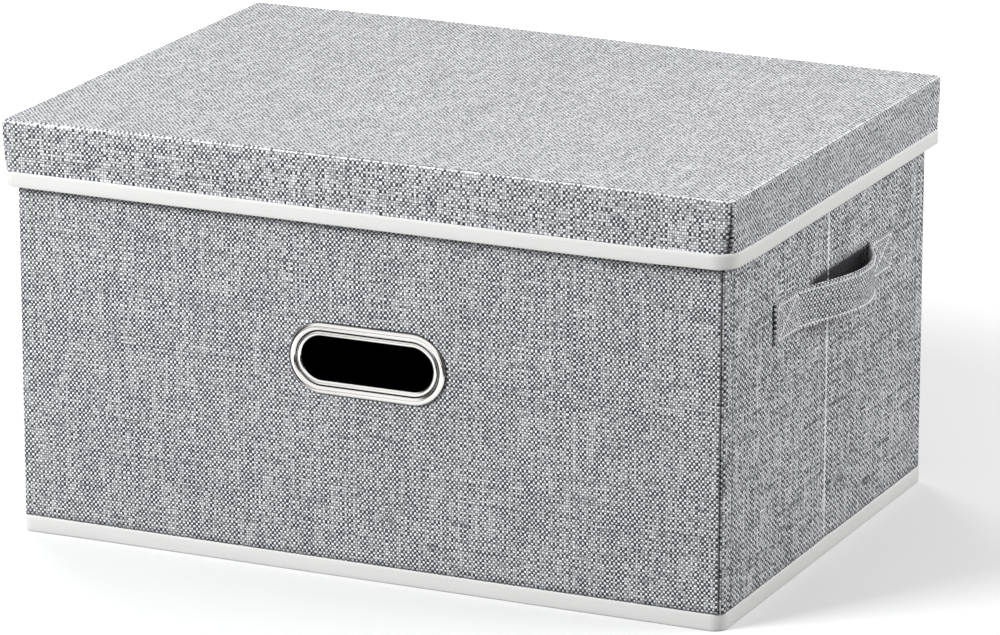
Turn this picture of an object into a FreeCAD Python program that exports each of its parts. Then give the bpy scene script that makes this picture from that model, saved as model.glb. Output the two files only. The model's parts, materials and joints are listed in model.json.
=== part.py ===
import FreeCAD, Part
import math
import os
import re
import Sketcher

# Collapsible fabric storage box with a lift-off lid. Millimetres, +Z up, origin on the floor under the middle of
# the box. The long side runs along X and the front wall, with its oval hand hole, faces -Y.

# Each driving size: the name of its cell, its value, and what it measures.
SIZES = (
    ("BodyLength", 440.0, "box length over the cover fabric"),
    ("BodyDepth", 308.0, "box depth over the cover fabric"),
    ("TotalHeight", 250.0, "floor to the top of the closed lid"),
    ("CoverThickness", 0.8, "woven cover fabric"),
    ("BoardThickness", 2.4, "wall cardboard"),
    ("LiningThickness", 0.6, "wall lining fabric"),
    ("BoardInset", 2.0, "wall cardboard short of the edges of its pocket"),
    ("CornerFold", 2.2, "inner face of the front or back wall to the upright fold line of a side"),
    ("FoldGap", 0.3, "running gap between pieces that fold past each other"),
    ("EdgeRadius", 1.6, "rounding of the folded cover fabric at an outer edge"),
    ("FootBindingHeight", 9.6, "binding tape at the foot"),
    ("FootBindingProud", 0.6, "foot binding beyond the cover fabric"),
    ("FootCornerRadius", 5.4, "foot corners, at the cover fabric"),
    ("FloorClothThickness", 1.0, "soft bottom cloth"),
    ("RimBindingHeight", 9.0, "binding tape over the rim"),
    ("RimBindingThickness", 0.8, "rim binding tape"),
    ("LidHeight", 41.0, "lid, foot of its binding to its top"),
    ("LidSlack", 2.5, "rim binding to the lining of the lid"),
    ("LidRest", 0.3, "rim binding to the underside of the closed lid"),
    ("LidBoardThickness", 2.0, "cardboard in the lid skirt"),
    ("LidTopBoardThickness", 2.4, "cardboard in the lid top"),
    ("LidTopBoardInset", 2.6, "lid top cardboard short of the inside of the cover"),
    ("LidLiningThickness", 0.5, "lid lining fabric"),
    ("LidCornerRadius", 9.0, "upright corners of the lid"),
    ("LidBindingHeight", 9.2, "binding tape on the lid's lower edge"),
    ("LidBindingThickness", 0.5, "lid binding tape"),
    ("GrommetLength", 98.9, "grommet overall, along the wall"),
    ("GrommetHeight", 42.4, "grommet overall, upright"),
    ("GrommetBand", 5.2, "raised outer band of the grommet"),
    ("GrommetLip", 3.1, "lower inner lip of the grommet"),
    ("GrommetThickness", 2.6, "outer band proud of the cover"),
    ("GrommetLipThickness", 1.7, "inner lip proud of the cover"),
    ("GrommetRound", 1.7, "rounding of the band's outer edge"),
    ("GrommetCentreHeight", 129.0, "grommet centre above the floor"),
    ("GrommetShift", 2.0, "grommet centre to the right of the middle"),
    ("BarrelWall", 0.8, "wall of the grommet's barrel"),
    ("BarrelClearance", 0.2, "barrel to the hole that it passes through"),
    ("WasherThickness", 1.2, "back washer of the grommet"),
    ("WasherInset", 1.5, "back washer inside the outline of the front part"),
    ("RolledLipThickness", 0.6, "rolled end of the barrel"),
    ("RolledLipReach", 2.6, "rolled end beyond the barrel"),
    ("HandleLength", 180.0, "strap handle from end to end"),
    ("HandlePatch", 34.0, "sewn-down length at each end of the strap"),
    ("HandleHeight", 24.5, "width of the strap, which stands upright"),
    ("HandleThickness", 2.0, "folded strap fabric"),
    ("HandleRise", 17.0, "wall to the inside of the strap at its middle"),
    ("HandleCentreHeight", 159.4, "strap centre above the floor"),
    ("HandleShift", 6.0, "strap centre behind the crease of the side"),
    ("StitchInset", 2.6, "box stitching inside the edge of its patch"),
    ("StitchWidth", 0.9, "sewing thread, across"),
    ("StitchThickness", 0.4, "sewing thread, proud of the strap"),
    ("InsertBoardThickness", 2.0, "cardboard of the base insert"),
    ("InsertFabricThickness", 0.5, "fabric sleeve of the base insert"),
    ("InsertClearance", 1.2, "base insert to the walls"),
    ("InsertCreaseRise", 0.6, "fold axis of the insert above its top"),
    ("TabWidth", 25.0, "pull tab"),
    ("TabLength", 40.0, "pull tab, along the insert"),
    ("TabThickness", 0.8, "pull tab ribbon"),
)

# Derived places, as formulas of the sizes.
HALF_X = "(BodyLength / 2)"
HALF_Y = "(BodyDepth / 2)"
WALL = "(CoverThickness + BoardThickness + LiningThickness)"
FOLD_LINE = f"({HALF_Y} - {WALL} - CornerFold)"
EDGE_ROUND = "min(EdgeRadius; 2 * CoverThickness)"
WALL_FOOT = "(FootBindingHeight + FoldGap)"
LID_CEILING = "(TotalHeight - CoverThickness - LidTopBoardThickness - LidLiningThickness)"
RIM = f"({LID_CEILING} - LidRest)"
WALL_TOP = f"({RIM} - RimBindingThickness)"
LID_LAYERS = "(CoverThickness + LidBoardThickness + LidLiningThickness)"
LID_OVERHANG = f"(RimBindingThickness + LidSlack + {LID_LAYERS})"
LID_X = f"({HALF_X} + {LID_OVERHANG})"
LID_Y = f"({HALF_Y} + {LID_OVERHANG})"
LID_FOOT = "(TotalHeight - LidHeight)"
LID_LAYER_FOOT = f"({LID_FOOT} + LidBindingThickness)"
BARREL = "(GrommetBand + GrommetLip - BarrelWall)"
INSERT_THICKNESS = "(InsertBoardThickness + 2 * InsertFabricThickness)"
INSERT_FOOT = "(FloorClothThickness + FoldGap)"
INSERT_TOP = f"({INSERT_FOOT} + {INSERT_THICKNESS})"
INSERT_X = f"({HALF_X} - {WALL} - InsertClearance)"
INSERT_Y = f"({HALF_Y} - {WALL} - InsertClearance)"

SIDES = {"left": -1, "right": 1}
ENDS = {"front": -1, "rear": 1}

ALIASES = {alias for alias, _, _ in SIZES}
ORIGIN_POINT = (-1, 1)
START, END, CENTRE = 1, 2, 3
TOUCHING = 0.01

doc = FreeCAD.newDocument("FabricStorageBox")
sheet = doc.addObject("Spreadsheet::Sheet", "Sizes")
for row, (alias, number, meaning) in enumerate(SIZES, start=1):
    sheet.set(f"A{row}", alias)
    sheet.set(f"B{row}", str(number))
    sheet.setAlias(f"B{row}", alias)
    sheet.set(f"C{row}", meaning)
doc.recompute()

nodes = []


def formula(text):
    """Names the sheet before each size in a formula, so that the formula binds to the sheet's cells."""
    return re.sub(r"[A-Z]\w+", lambda found: f"Sizes.{found[0]}" if found[0] in ALIASES else found[0], text)


def number_of(text):
    """Works a formula out to a number, for the first drawing of a sketch."""
    return float(sheet.evalExpression(formula(text)))


def bind(obj, **formulas):
    """Ties properties of an object to formulas. A double underscore in a name stands for a dot."""
    for name, text in formulas.items():
        obj.setExpression(name.replace("__", "."), formula(text))


def node(obj, label):
    """Labels an object as a sub-part, which makes it one of the files."""
    obj.Label = label
    nodes.append(obj)
    return obj


def flipped(span):
    """Mirrors a span about zero."""
    low, high = span
    return (f"-({high})", f"-({low})")


def span_for(sign, span):
    """A span on the positive side, or its mirror image on the negative side."""
    return span if sign > 0 else flipped(span)


def slab(x, y, z):
    """A plain rectangular solid from three spans, each a low and a high formula."""
    box = doc.addObject("Part::Box", "Slab")
    for axis, size, (low, high) in (("x", "Length", x), ("y", "Width", y), ("z", "Height", z)):
        bind(box, **{size: f"({high}) - ({low})", f"Placement__Base__{axis}": low})
    return box


def cut(base, tool):
    """The first solid less the second."""
    result = doc.addObject("Part::Cut", "Trimmed")
    result.Base = base
    result.Tool = tool
    return result


def fuse(*solids):
    """One solid from several that meet."""
    result = doc.addObject("Part::MultiFuse", "Joined")
    result.Shapes = list(solids)
    return result


def new_body(label):
    """An empty body, listed as a sub-part."""
    return node(doc.addObject("PartDesign::Body", "Body"), label)


def new_sketch(body, plane, centre=("0", "0"), lift="0"):
    """A sketch on one of the body's origin planes, whose own origin is shifted to a centre and lifted off the plane."""
    sketch = body.newObject("Sketcher::SketchObject", "Outline")
    origin_plane = next(item for item in body.Origin.OriginFeatures if item.Role == plane)
    sketch.AttachmentSupport = [(origin_plane, "")]
    sketch.MapMode = "FlatFace"
    bind(
        sketch,
        AttachmentOffset__Base__x=centre[0],
        AttachmentOffset__Base__y=centre[1],
        AttachmentOffset__Base__z=lift,
    )
    return sketch


def constrain(sketch, kind, *terms, size=None):
    """Adds a constraint, tied to a formula where it has a size."""
    index = sketch.addConstraint(Sketcher.Constraint(kind, *terms, *([number_of(size)] if size else [])))
    if size:
        sketch.setExpression(f"Constraints[{index}]", formula(size))


def add_loop(sketch, pieces):
    """Draws a closed loop and joins each piece's end to the next one's start, smoothly where one of them is an arc."""
    first = sketch.GeometryCount
    sketch.addGeometry(pieces, False)
    for place, piece in enumerate(pieces):
        following = (place + 1) % len(pieces)
        curved = isinstance(piece, Part.ArcOfCircle) or isinstance(pieces[following], Part.ArcOfCircle)
        kind = "Tangent" if curved else "Coincident"
        constrain(sketch, kind, first + place, END, first + following, START)
    return first


def line(x_start, y_start, x_end, y_end):
    """A straight piece of a loop."""
    return Part.LineSegment(FreeCAD.Vector(x_start, y_start, 0), FreeCAD.Vector(x_end, y_end, 0))


def arc(x, y, radius, start_quarter, end_quarter):
    """An arc of a loop, anticlockwise between two multiples of a quarter turn."""
    quarter = math.pi / 2
    circle = Part.Circle(FreeCAD.Vector(x, y, 0), FreeCAD.Vector(0, 0, 1), radius)
    return Part.ArcOfCircle(circle, start_quarter * quarter, end_quarter * quarter)


def add_rectangle(sketch, width, depth):
    """A rectangle about the sketch's origin."""
    x = number_of(width) / 2
    y = number_of(depth) / 2
    sides = [line(-x, -y, x, -y), line(x, -y, x, y), line(x, y, -x, y), line(-x, y, -x, -y)]
    first = add_loop(sketch, sides)
    for place, kind in enumerate(("Horizontal", "Vertical", "Horizontal", "Vertical")):
        constrain(sketch, kind, first + place)
    constrain(sketch, "Symmetric", first, START, first + 2, START, *ORIGIN_POINT)
    constrain(sketch, "DistanceX", first, START, first, END, size=width)
    constrain(sketch, "DistanceY", first + 1, START, first + 1, END, size=depth)


def add_rounded_rectangle(sketch, width, depth, radius):
    """A rectangle with rounded corners about the sketch's origin."""
    r = number_of(radius)
    x = number_of(width) / 2 - r
    y = number_of(depth) / 2 - r
    pieces = [
        line(-x, -y - r, x, -y - r),
        arc(x, -y, r, 3, 4),
        line(x + r, -y, x + r, y),
        arc(x, y, r, 0, 1),
        line(x, y + r, -x, y + r),
        arc(-x, y, r, 1, 2),
        line(-x - r, y, -x - r, -y),
        arc(-x, -y, r, 2, 3),
    ]
    first = add_loop(sketch, pieces)
    for place, kind in ((0, "Horizontal"), (2, "Vertical"), (4, "Horizontal"), (6, "Vertical")):
        constrain(sketch, kind, first + place)
    for place in (3, 5, 7):
        constrain(sketch, "Equal", first + 1, first + place)
    constrain(sketch, "Radius", first + 1, size=radius)
    constrain(sketch, "Symmetric", first + 1, CENTRE, first + 5, CENTRE, *ORIGIN_POINT)
    constrain(sketch, "DistanceX", first + 6, START, first + 2, END, size=width)
    constrain(sketch, "DistanceY", first, START, first + 4, END, size=depth)


def add_slot(sketch, length, height):
    """A straight slot with half-round ends about the sketch's origin."""
    r = number_of(height) / 2
    x = number_of(length) / 2 - r
    first = add_loop(sketch, [line(-x, -r, x, -r), arc(x, 0, r, -1, 1), line(x, r, -x, r), arc(-x, 0, r, 1, 3)])
    constrain(sketch, "Horizontal", first)
    constrain(sketch, "Equal", first + 1, first + 3)
    constrain(sketch, "Radius", first + 1, size=f"({height}) / 2")
    constrain(sketch, "Symmetric", first + 1, CENTRE, first + 3, CENTRE, *ORIGIN_POINT)
    constrain(sketch, "DistanceX", first + 3, CENTRE, first + 1, CENTRE, size=f"({length}) - ({height})")


def pad(body, sketch, length, backwards=False):
    """Thickens a sketch along its normal, or against it."""
    feature = body.newObject("PartDesign::Pad", "Thickness")
    feature.Profile = sketch
    feature.Reversed = backwards
    bind(feature, Length=length)
    sketch.Visibility = False
    return feature


def pocket_through(body, sketch):
    """Cuts a sketch through the body both ways."""
    feature = body.newObject("PartDesign::Pocket", "Opening")
    feature.Profile = sketch
    feature.Type = "ThroughAll"
    feature.Midplane = True
    return feature


def round_edges(body, base, edges, radius):
    """Rounds the given edges of a feature."""
    names = []
    for place, edge in enumerate(base.Shape.Edges, start=1):
        if any(edge.isSame(other) for other in edges):
            names.append(f"Edge{place}")
    feature = body.newObject("PartDesign::Fillet", "Rounding")
    feature.Base = (base, names)
    bind(feature, Radius=radius)
    return feature


def outermost_face(shape, direction):
    """The flat face furthest along a direction."""
    return max(shape.Faces, key=lambda face: face.CenterOfMass.dot(direction))


def make_side_panel(side, end):
    """One half of a folding side wall: cover, cardboard and lining, bound at the rim."""
    x_sign = SIDES[side]
    y_sign = ENDS[end]
    name = f"{side}_{end}"
    crease = "FoldGap / 2"
    y = span_for(y_sign, (crease, FOLD_LINE))
    z = (WALL_FOOT, WALL_TOP)
    cover_inside = f"{HALF_X} - CoverThickness"
    board_inside = f"{HALF_X} - CoverThickness - BoardThickness"
    wall_inside = f"{HALF_X} - {WALL}"
    board_y = span_for(y_sign, (f"{crease} + BoardInset", f"{FOLD_LINE} - BoardInset"))
    board_z = (f"{WALL_FOOT} + BoardInset", f"{WALL_TOP} - BoardInset")
    node(slab(span_for(x_sign, (cover_inside, HALF_X)), y, z), f"{name}_cover")
    node(slab(span_for(x_sign, (board_inside, cover_inside)), board_y, board_z), f"{name}_board")
    node(slab(span_for(x_sign, (wall_inside, board_inside)), y, z), f"{name}_lining")
    tape_z = (f"{RIM} - RimBindingHeight", RIM)
    tape_x = span_for(x_sign, (f"{wall_inside} - RimBindingThickness", f"{HALF_X} + RimBindingThickness"))
    tape = slab(tape_x, y, tape_z)
    seat = slab(span_for(x_sign, (wall_inside, HALF_X)), y, (f"{RIM} - RimBindingHeight", WALL_TOP))
    node(cut(tape, seat), f"{name}_rim_binding")


def grommet_sketch(body, lift, *outlines):
    """A sketch of slots about the grommet's centre, each inset from its outline, lifted towards the front."""
    sketch = new_sketch(body, "XZ_Plane", ("GrommetShift", "GrommetCentreHeight"), lift)
    for inset in outlines:
        add_slot(sketch, f"GrommetLength - 2 * ({inset})", f"GrommetHeight - 2 * ({inset})")
    return sketch


def cut_hand_hole(body):
    """Opens the hole that the grommet's barrel passes through."""
    return pocket_through(body, grommet_sketch(body, HALF_Y, f"{BARREL} - BarrelClearance"))


def make_long_wall(name, y_sign):
    """The front or back wall. Its cover turns the corners, so the sides fold clear of its board and lining."""
    z_middle = f"({WALL_FOOT} + {WALL_TOP}) / 2"
    height = f"{WALL_TOP} - {WALL_FOOT}"
    inner_half_x = f"({HALF_X} - CoverThickness)"
    turn = f"({WALL} + CornerFold - FoldGap)"

    cover = new_body(f"{name}_cover")
    y_middle = f"{y_sign} * ({HALF_Y} - {turn} / 2)"
    plan = new_sketch(cover, "XY_Plane", ("0", y_middle), WALL_FOOT)
    add_rectangle(plan, "BodyLength", turn)
    blank = pad(cover, plan, height)
    hollow = new_sketch(cover, "XY_Plane", ("0", f"{y_middle} - {y_sign} * CoverThickness"), WALL_FOOT)
    add_rectangle(hollow, f"2 * {inner_half_x}", turn)
    blank = pocket_through(cover, hollow)
    doc.recompute()
    outer_y = y_sign * number_of(HALF_Y)
    corners = [edge for edge in blank.Shape.Edges if is_upright_at(edge, number_of(HALF_X), outer_y)]
    round_edges(cover, blank, corners, EDGE_ROUND)

    board = new_body(f"{name}_board")
    board_y = f"{HALF_Y} - CoverThickness - BoardThickness / 2"
    face = new_sketch(board, "XZ_Plane", ("0", z_middle), f"{-y_sign} * ({board_y}) - BoardThickness / 2")
    add_rectangle(face, f"2 * ({inner_half_x} - BoardInset)", f"{height} - 2 * BoardInset")
    pad(board, face, "BoardThickness")

    lining = new_body(f"{name}_lining")
    lining_y = f"{HALF_Y} - {WALL} + LiningThickness / 2"
    face = new_sketch(lining, "XZ_Plane", ("0", z_middle), f"{-y_sign} * ({lining_y}) - LiningThickness / 2")
    add_rectangle(face, f"2 * {inner_half_x}", height)
    pad(lining, face, "LiningThickness")

    wall_inside = f"({HALF_Y} - {WALL})"
    tape_inside = f"{wall_inside} - RimBindingThickness"
    tape_x = (f"-({HALF_X} + RimBindingThickness)", f"{HALF_X} + RimBindingThickness")
    tape_y = span_for(y_sign, (tape_inside, f"{HALF_Y} + RimBindingThickness"))
    seat_z = (f"{RIM} - RimBindingHeight", WALL_TOP)
    tape = slab(tape_x, tape_y, (f"{RIM} - RimBindingHeight", RIM))
    tape = cut(tape, slab(tape_x, span_for(y_sign, (wall_inside, HALF_Y)), seat_z))
    for x_sign in SIDES.values():
        turned_x = span_for(x_sign, (inner_half_x, f"{HALF_X} + RimBindingThickness"))
        tape = cut(tape, slab(turned_x, span_for(y_sign, (tape_inside, wall_inside)), seat_z))
    node(tape, f"{name}_rim_binding")
    return cover, board, lining


def is_upright_at(edge, half_x, y):
    """Whether an edge is vertical and stands on an outer corner of the box."""
    box = edge.BoundBox
    centre = edge.CenterOfMass
    on_corner = math.hypot(abs(centre.x) - half_x, centre.y - y) < TOUCHING
    return on_corner and box.ZLength > max(box.XLength, box.YLength)


def make_grommet():
    """The oval grommet: a stepped ring with a barrel and a rolled end in front, and a flat washer behind."""
    bore = "GrommetBand + GrommetLip"
    front_face = HALF_Y
    inner_face = f"({HALF_Y} - {WALL})"
    washer_face = f"({inner_face} - WasherThickness)"

    ring = new_body("grommet_front")
    pad(ring, grommet_sketch(ring, front_face, "0", bore), "GrommetLipThickness")
    band = pad(ring, grommet_sketch(ring, front_face, "0", "GrommetBand"), "GrommetThickness")
    doc.recompute()
    front_rim = outermost_face(band.Shape, FreeCAD.Vector(0, -1, 0)).OuterWire.Edges
    round_edges(ring, band, front_rim, "min(GrommetRound; 0.8 * GrommetThickness)")
    barrel_length = f"{WALL} + WasherThickness + RolledLipThickness"
    pad(ring, grommet_sketch(ring, front_face, BARREL, bore), barrel_length, backwards=True)
    rolled_edge = f"{BARREL} - RolledLipReach"
    pad(ring, grommet_sketch(ring, washer_face, rolled_edge, bore), "RolledLipThickness", backwards=True)

    washer = new_body("grommet_back")
    washer_sketch = grommet_sketch(washer, washer_face, "WasherInset", f"{BARREL} - BarrelClearance")
    pad(washer, washer_sketch, "WasherThickness")


def make_foot():
    """The floor cloth and the binding tape that closes the foot of all four walls."""
    binding = new_body("foot_binding")
    plan = new_sketch(binding, "XY_Plane")
    for offset in ("FootBindingProud", f"-{WALL}"):
        add_rounded_rectangle(plan, *outline(HALF_X, HALF_Y, "FootCornerRadius", offset))
    pad(binding, plan, "FootBindingHeight")

    cloth = new_body("floor_cloth")
    plan = new_sketch(cloth, "XY_Plane")
    add_rounded_rectangle(plan, *outline(HALF_X, HALF_Y, "FootCornerRadius", f"-{WALL}"))
    pad(cloth, plan, "FloorClothThickness")


def outline(half_x, half_y, radius, offset):
    """Width, depth and corner radius of a rounded outline, moved outwards by an offset."""
    return f"2 * ({half_x} + {offset})", f"2 * ({half_y} + {offset})", f"{radius} + {offset}"


def make_handle(side):
    """A strap handle: two sewn-down ends and an arch between them, with box stitching on each end."""
    x_sign = SIDES[side]
    half_gap = "(HandleLength / 2 - HandlePatch)"
    inner_radius = f"(({half_gap} ^ 2 + HandleRise ^ 2) / (2 * HandleRise))"
    arch_centre = f"({HALF_X} + HandleRise - {inner_radius})"
    z = ("HandleCentreHeight - HandleHeight / 2", "HandleCentreHeight + HandleHeight / 2")
    outer_face = f"{HALF_X} + HandleThickness"

    def drum(radius):
        """An upright cylinder about the centre of the arch."""
        cylinder = doc.addObject("Part::Cylinder", "Drum")
        bind(
            cylinder,
            Radius=radius,
            Height="HandleHeight",
            Placement__Base__x=f"{x_sign} * {arch_centre}",
            Placement__Base__y="HandleShift",
            Placement__Base__z=z[0],
        )
        return cylinder

    hoop = cut(drum(f"{inner_radius} + HandleThickness"), drum(inner_radius))
    reach_x = (HALF_X, f"{HALF_X} + HandleRise + 2 * HandleThickness")
    reach_y = ("HandleShift - HandleLength / 2", "HandleShift + HandleLength / 2")
    arch = doc.addObject("Part::Common", "Arch")
    arch.Base = hoop
    arch.Tool = slab(span_for(x_sign, reach_x), reach_y, z)

    patches = []
    for end, y_sign in ENDS.items():
        near, far = half_gap, "HandleLength / 2"
        low, high = span_for(y_sign, (near, far))
        y = (f"HandleShift + ({low})", f"HandleShift + ({high})")
        patches.append(slab(span_for(x_sign, (HALF_X, outer_face)), y, z))
        thread_x = span_for(x_sign, (outer_face, f"{outer_face} + StitchThickness"))
        around = slab(thread_x, inset(y, "StitchInset"), inset(z, "StitchInset"))
        inside = slab(thread_x, inset(y, "StitchInset + StitchWidth"), inset(z, "StitchInset + StitchWidth"))
        node(cut(around, inside), f"{side}_handle_{end}_stitching")
    node(fuse(*patches, arch), f"{side}_handle")


def inset(span, amount):
    """A span drawn in by an amount at both ends."""
    low, high = span
    return (f"({low}) + {amount}", f"({high}) - ({amount})")


def make_insert():
    """The bi-fold base insert: two boards in fabric sleeves that are open at the crease, and a pull tab."""
    for end, y_sign in ENDS.items():
        sleeve_y = ("FoldGap", INSERT_Y)
        board_y = ("FoldGap", f"{INSERT_Y} - InsertFabricThickness")
        board_x = f"({INSERT_X} - InsertFabricThickness)"
        board_z = (f"{INSERT_FOOT} + InsertFabricThickness", f"{INSERT_TOP} - InsertFabricThickness")
        room = (f"-{board_x}", board_x), span_for(y_sign, board_y), board_z
        node(slab(*room), f"insert_{end}_board")
        around = slab((f"-{INSERT_X}", INSERT_X), span_for(y_sign, sleeve_y), (INSERT_FOOT, INSERT_TOP))
        node(cut(around, slab(*room)), f"insert_{end}_sleeve")
    tab_x = ("-TabWidth / 2", "TabWidth / 2")
    tab_y = (f"-{INSERT_Y}", f"-{INSERT_Y} + TabLength")
    node(slab(tab_x, tab_y, (INSERT_TOP, f"{INSERT_TOP} + TabThickness")), "insert_pull_tab")


def lid_shell(label, outer_offset, thickness, foot, ceiling, top):
    """A lid layer: a skirt and a top of its own thickness, with rounded upright corners."""
    shell = new_body(label)
    skirt = new_sketch(shell, "XY_Plane", lift=foot)
    for offset in (outer_offset, f"{outer_offset} - {thickness}"):
        add_rounded_rectangle(skirt, *outline(LID_X, LID_Y, "LidCornerRadius", f"({offset})"))
    pad(shell, skirt, f"{top} - {foot}")
    plate = new_sketch(shell, "XY_Plane", lift=ceiling)
    add_rounded_rectangle(plate, *outline(LID_X, LID_Y, "LidCornerRadius", f"({outer_offset})"))
    return shell, pad(shell, plate, f"{top} - {ceiling}")


def make_lid():
    """The lid: cover, top board, four skirt boards, lining, and binding tape round the lower edge."""
    under_cover = "(TotalHeight - CoverThickness)"
    cover, top = lid_shell("lid_cover", "0", "CoverThickness", LID_LAYER_FOOT, under_cover, "TotalHeight")
    doc.recompute()
    top_rim = outermost_face(top.Shape, FreeCAD.Vector(0, 0, 1)).OuterWire.Edges
    round_edges(cover, top, top_rim, EDGE_ROUND)

    lining_outside = "-(CoverThickness + LidBoardThickness)"
    lining_top = "(TotalHeight - CoverThickness - LidTopBoardThickness)"
    lid_shell("lid_lining", lining_outside, "LidLiningThickness", LID_LAYER_FOOT, LID_CEILING, lining_top)

    top_x = f"({LID_X} - CoverThickness - LidTopBoardInset)"
    top_y = f"({LID_Y} - CoverThickness - LidTopBoardInset)"
    node(slab((f"-{top_x}", top_x), (f"-{top_y}", top_y), (lining_top, under_cover)), "lid_top_board")

    end_x = f"({LID_X} - LidCornerRadius)"
    end_y = f"({LID_Y} - LidCornerRadius)"
    z = (LID_LAYER_FOOT, under_cover)
    for name, sign in (("front", -1), ("back", 1)):
        y = span_for(sign, (f"{LID_Y} - CoverThickness - LidBoardThickness", f"{LID_Y} - CoverThickness"))
        node(slab((f"-{end_x}", end_x), y, z), f"lid_{name}_board")
    for name, sign in SIDES.items():
        x = span_for(sign, (f"{LID_X} - CoverThickness - LidBoardThickness", f"{LID_X} - CoverThickness"))
        node(slab(x, (f"-{end_y}", end_y), z), f"lid_{name}_board")

    binding = new_body("lid_binding")
    inner = f"-{LID_LAYERS}"
    bands = (
        ("LidBindingThickness", "0", "LidBindingHeight"),
        (inner, f"{inner} - LidBindingThickness", "LidBindingHeight"),
        ("LidBindingThickness", f"{inner} - LidBindingThickness", "LidBindingThickness"),
    )
    for outer_offset, inner_offset, height in bands:
        plan = new_sketch(binding, "XY_Plane", lift=LID_FOOT)
        for offset in (outer_offset, inner_offset):
            add_rounded_rectangle(plan, *outline(LID_X, LID_Y, "LidCornerRadius", f"({offset})"))
        pad(binding, plan, height)


def check_and_write():
    """Stops on any object that failed, then writes one file for each sub-part."""
    doc.recompute()
    failed = [obj.Label for obj in doc.Objects if {"Invalid", "Error"} & set(obj.State)]
    if failed:
        raise RuntimeError(f"these objects failed: {failed}")
    for obj in nodes:
        if obj.Shape.isNull() or not obj.Shape.isValid() or len(obj.Shape.Solids) != 1:
            raise RuntimeError(f"{obj.Label} is not one valid solid")
    os.makedirs("parts", exist_ok=True)
    for obj in nodes:
        obj.Shape.exportStep(f"parts/{obj.Label}.step")
    print(f"{len(nodes)} sub-parts written")


make_foot()
make_long_wall("back", 1)
front_layers = make_long_wall("front", -1)
for layer in front_layers:
    cut_hand_hole(layer)
for side in SIDES:
    for end in ENDS:
        make_side_panel(side, end)
    make_handle(side)
make_grommet()
make_insert()
make_lid()
check_and_write()
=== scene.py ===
"""Dresses a collapsible fabric storage box: woven covers, white tapes, a chromed hand hole and straps.

Lengths are in metres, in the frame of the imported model: +Z is up and the front wall faces -Y.
"""
from __future__ import annotations

import enum
import json
import logging
import math
from dataclasses import dataclass
from typing import Any, Callable, Sequence

import bpy
import numpy as np
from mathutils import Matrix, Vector

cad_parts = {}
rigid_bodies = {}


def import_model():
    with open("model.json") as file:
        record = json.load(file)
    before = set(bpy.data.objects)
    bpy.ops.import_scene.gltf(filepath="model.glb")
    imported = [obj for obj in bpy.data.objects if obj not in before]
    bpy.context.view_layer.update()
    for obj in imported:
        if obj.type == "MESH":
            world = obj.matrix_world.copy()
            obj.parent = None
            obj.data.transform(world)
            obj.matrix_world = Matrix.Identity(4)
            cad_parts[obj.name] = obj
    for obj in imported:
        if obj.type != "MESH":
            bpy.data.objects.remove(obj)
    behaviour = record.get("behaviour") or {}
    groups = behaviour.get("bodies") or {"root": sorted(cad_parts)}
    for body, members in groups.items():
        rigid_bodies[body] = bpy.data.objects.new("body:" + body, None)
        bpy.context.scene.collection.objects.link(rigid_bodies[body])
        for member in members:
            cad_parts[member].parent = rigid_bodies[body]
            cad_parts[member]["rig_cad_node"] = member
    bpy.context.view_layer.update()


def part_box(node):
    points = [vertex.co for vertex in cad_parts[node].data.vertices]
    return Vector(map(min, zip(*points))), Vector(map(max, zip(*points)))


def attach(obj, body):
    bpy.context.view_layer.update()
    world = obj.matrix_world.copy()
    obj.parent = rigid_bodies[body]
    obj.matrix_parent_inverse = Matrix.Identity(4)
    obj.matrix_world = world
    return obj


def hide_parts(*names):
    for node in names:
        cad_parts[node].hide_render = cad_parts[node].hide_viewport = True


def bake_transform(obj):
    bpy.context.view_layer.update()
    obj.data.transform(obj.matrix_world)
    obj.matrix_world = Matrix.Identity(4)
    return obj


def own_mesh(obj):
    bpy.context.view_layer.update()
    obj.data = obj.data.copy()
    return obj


log = logging.getLogger("storage_box")

Array = np.ndarray
Piece = bpy.types.Object
Material = bpy.types.Material
Socket = bpy.types.NodeSocket
Triple = tuple[float, float, float]
Colour = tuple[float, float, float, float]

MM = 0.001
QUARTER = math.pi / 2.0
CLOTH_MAP = "Cloth"
# Point attribute of painted light: a painted highlight above 0 and painted shade below 0.
PAINTED_LIGHT = "pressed"
WHITE = (1.0, 1.0, 1.0, 1.0)


class Choice(enum.Enum):
    """Named options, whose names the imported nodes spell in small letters."""

    @property
    def word(self) -> str:
        """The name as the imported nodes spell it."""
        return self.name.lower()


class Wall(Choice):
    """A wall of the box, numbered anticlockwise from the front as seen from above."""

    FRONT = 0
    RIGHT = 1
    BACK = 2
    LEFT = 3

    def place(self, along: Array, out: Array, height: Array) -> Array:
        """Points of the wall in the box's frame.

        Args:
            along: distance along the wall, anticlockwise seen from above.
            out: distance outwards from the middle of the box.
            height: distance above the floor.

        Returns:
            The points, with their three coordinates in the last axis.
        """
        turned = {
            Wall.FRONT: (along, -out),
            Wall.RIGHT: (out, along),
            Wall.BACK: (-along, out),
            Wall.LEFT: (-out, -along),
        }
        return grid(*turned[self], height)


class Side(Choice):
    """One of the two folding sides, by the sign of its X."""

    LEFT = -1
    RIGHT = 1

    @property
    def wall(self) -> Wall:
        """The wall on this side."""
        return Wall.RIGHT if self is Side.RIGHT else Wall.LEFT


class End(Choice):
    """The front or rear half of a folding side, by the sign of its Y."""

    FRONT = -1
    REAR = 1

    @property
    def wall(self) -> Wall:
        """The long wall at this end."""
        return Wall.FRONT if self is End.FRONT else Wall.BACK


def wall_panels() -> list[tuple[str, Wall, str]]:
    """Every panel of the walls.

    Returns:
        The panel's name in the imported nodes, its wall and its body.
    """
    whole = [(wall.word, wall, f"{wall.word}_wall") for wall in (Wall.FRONT, Wall.BACK)]
    halves = [(f"{side.word}_{end.word}", side.wall) for side in Side for end in End]
    return whole + [(word, wall, f"{word}_panel") for word, wall in halves]


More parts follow.
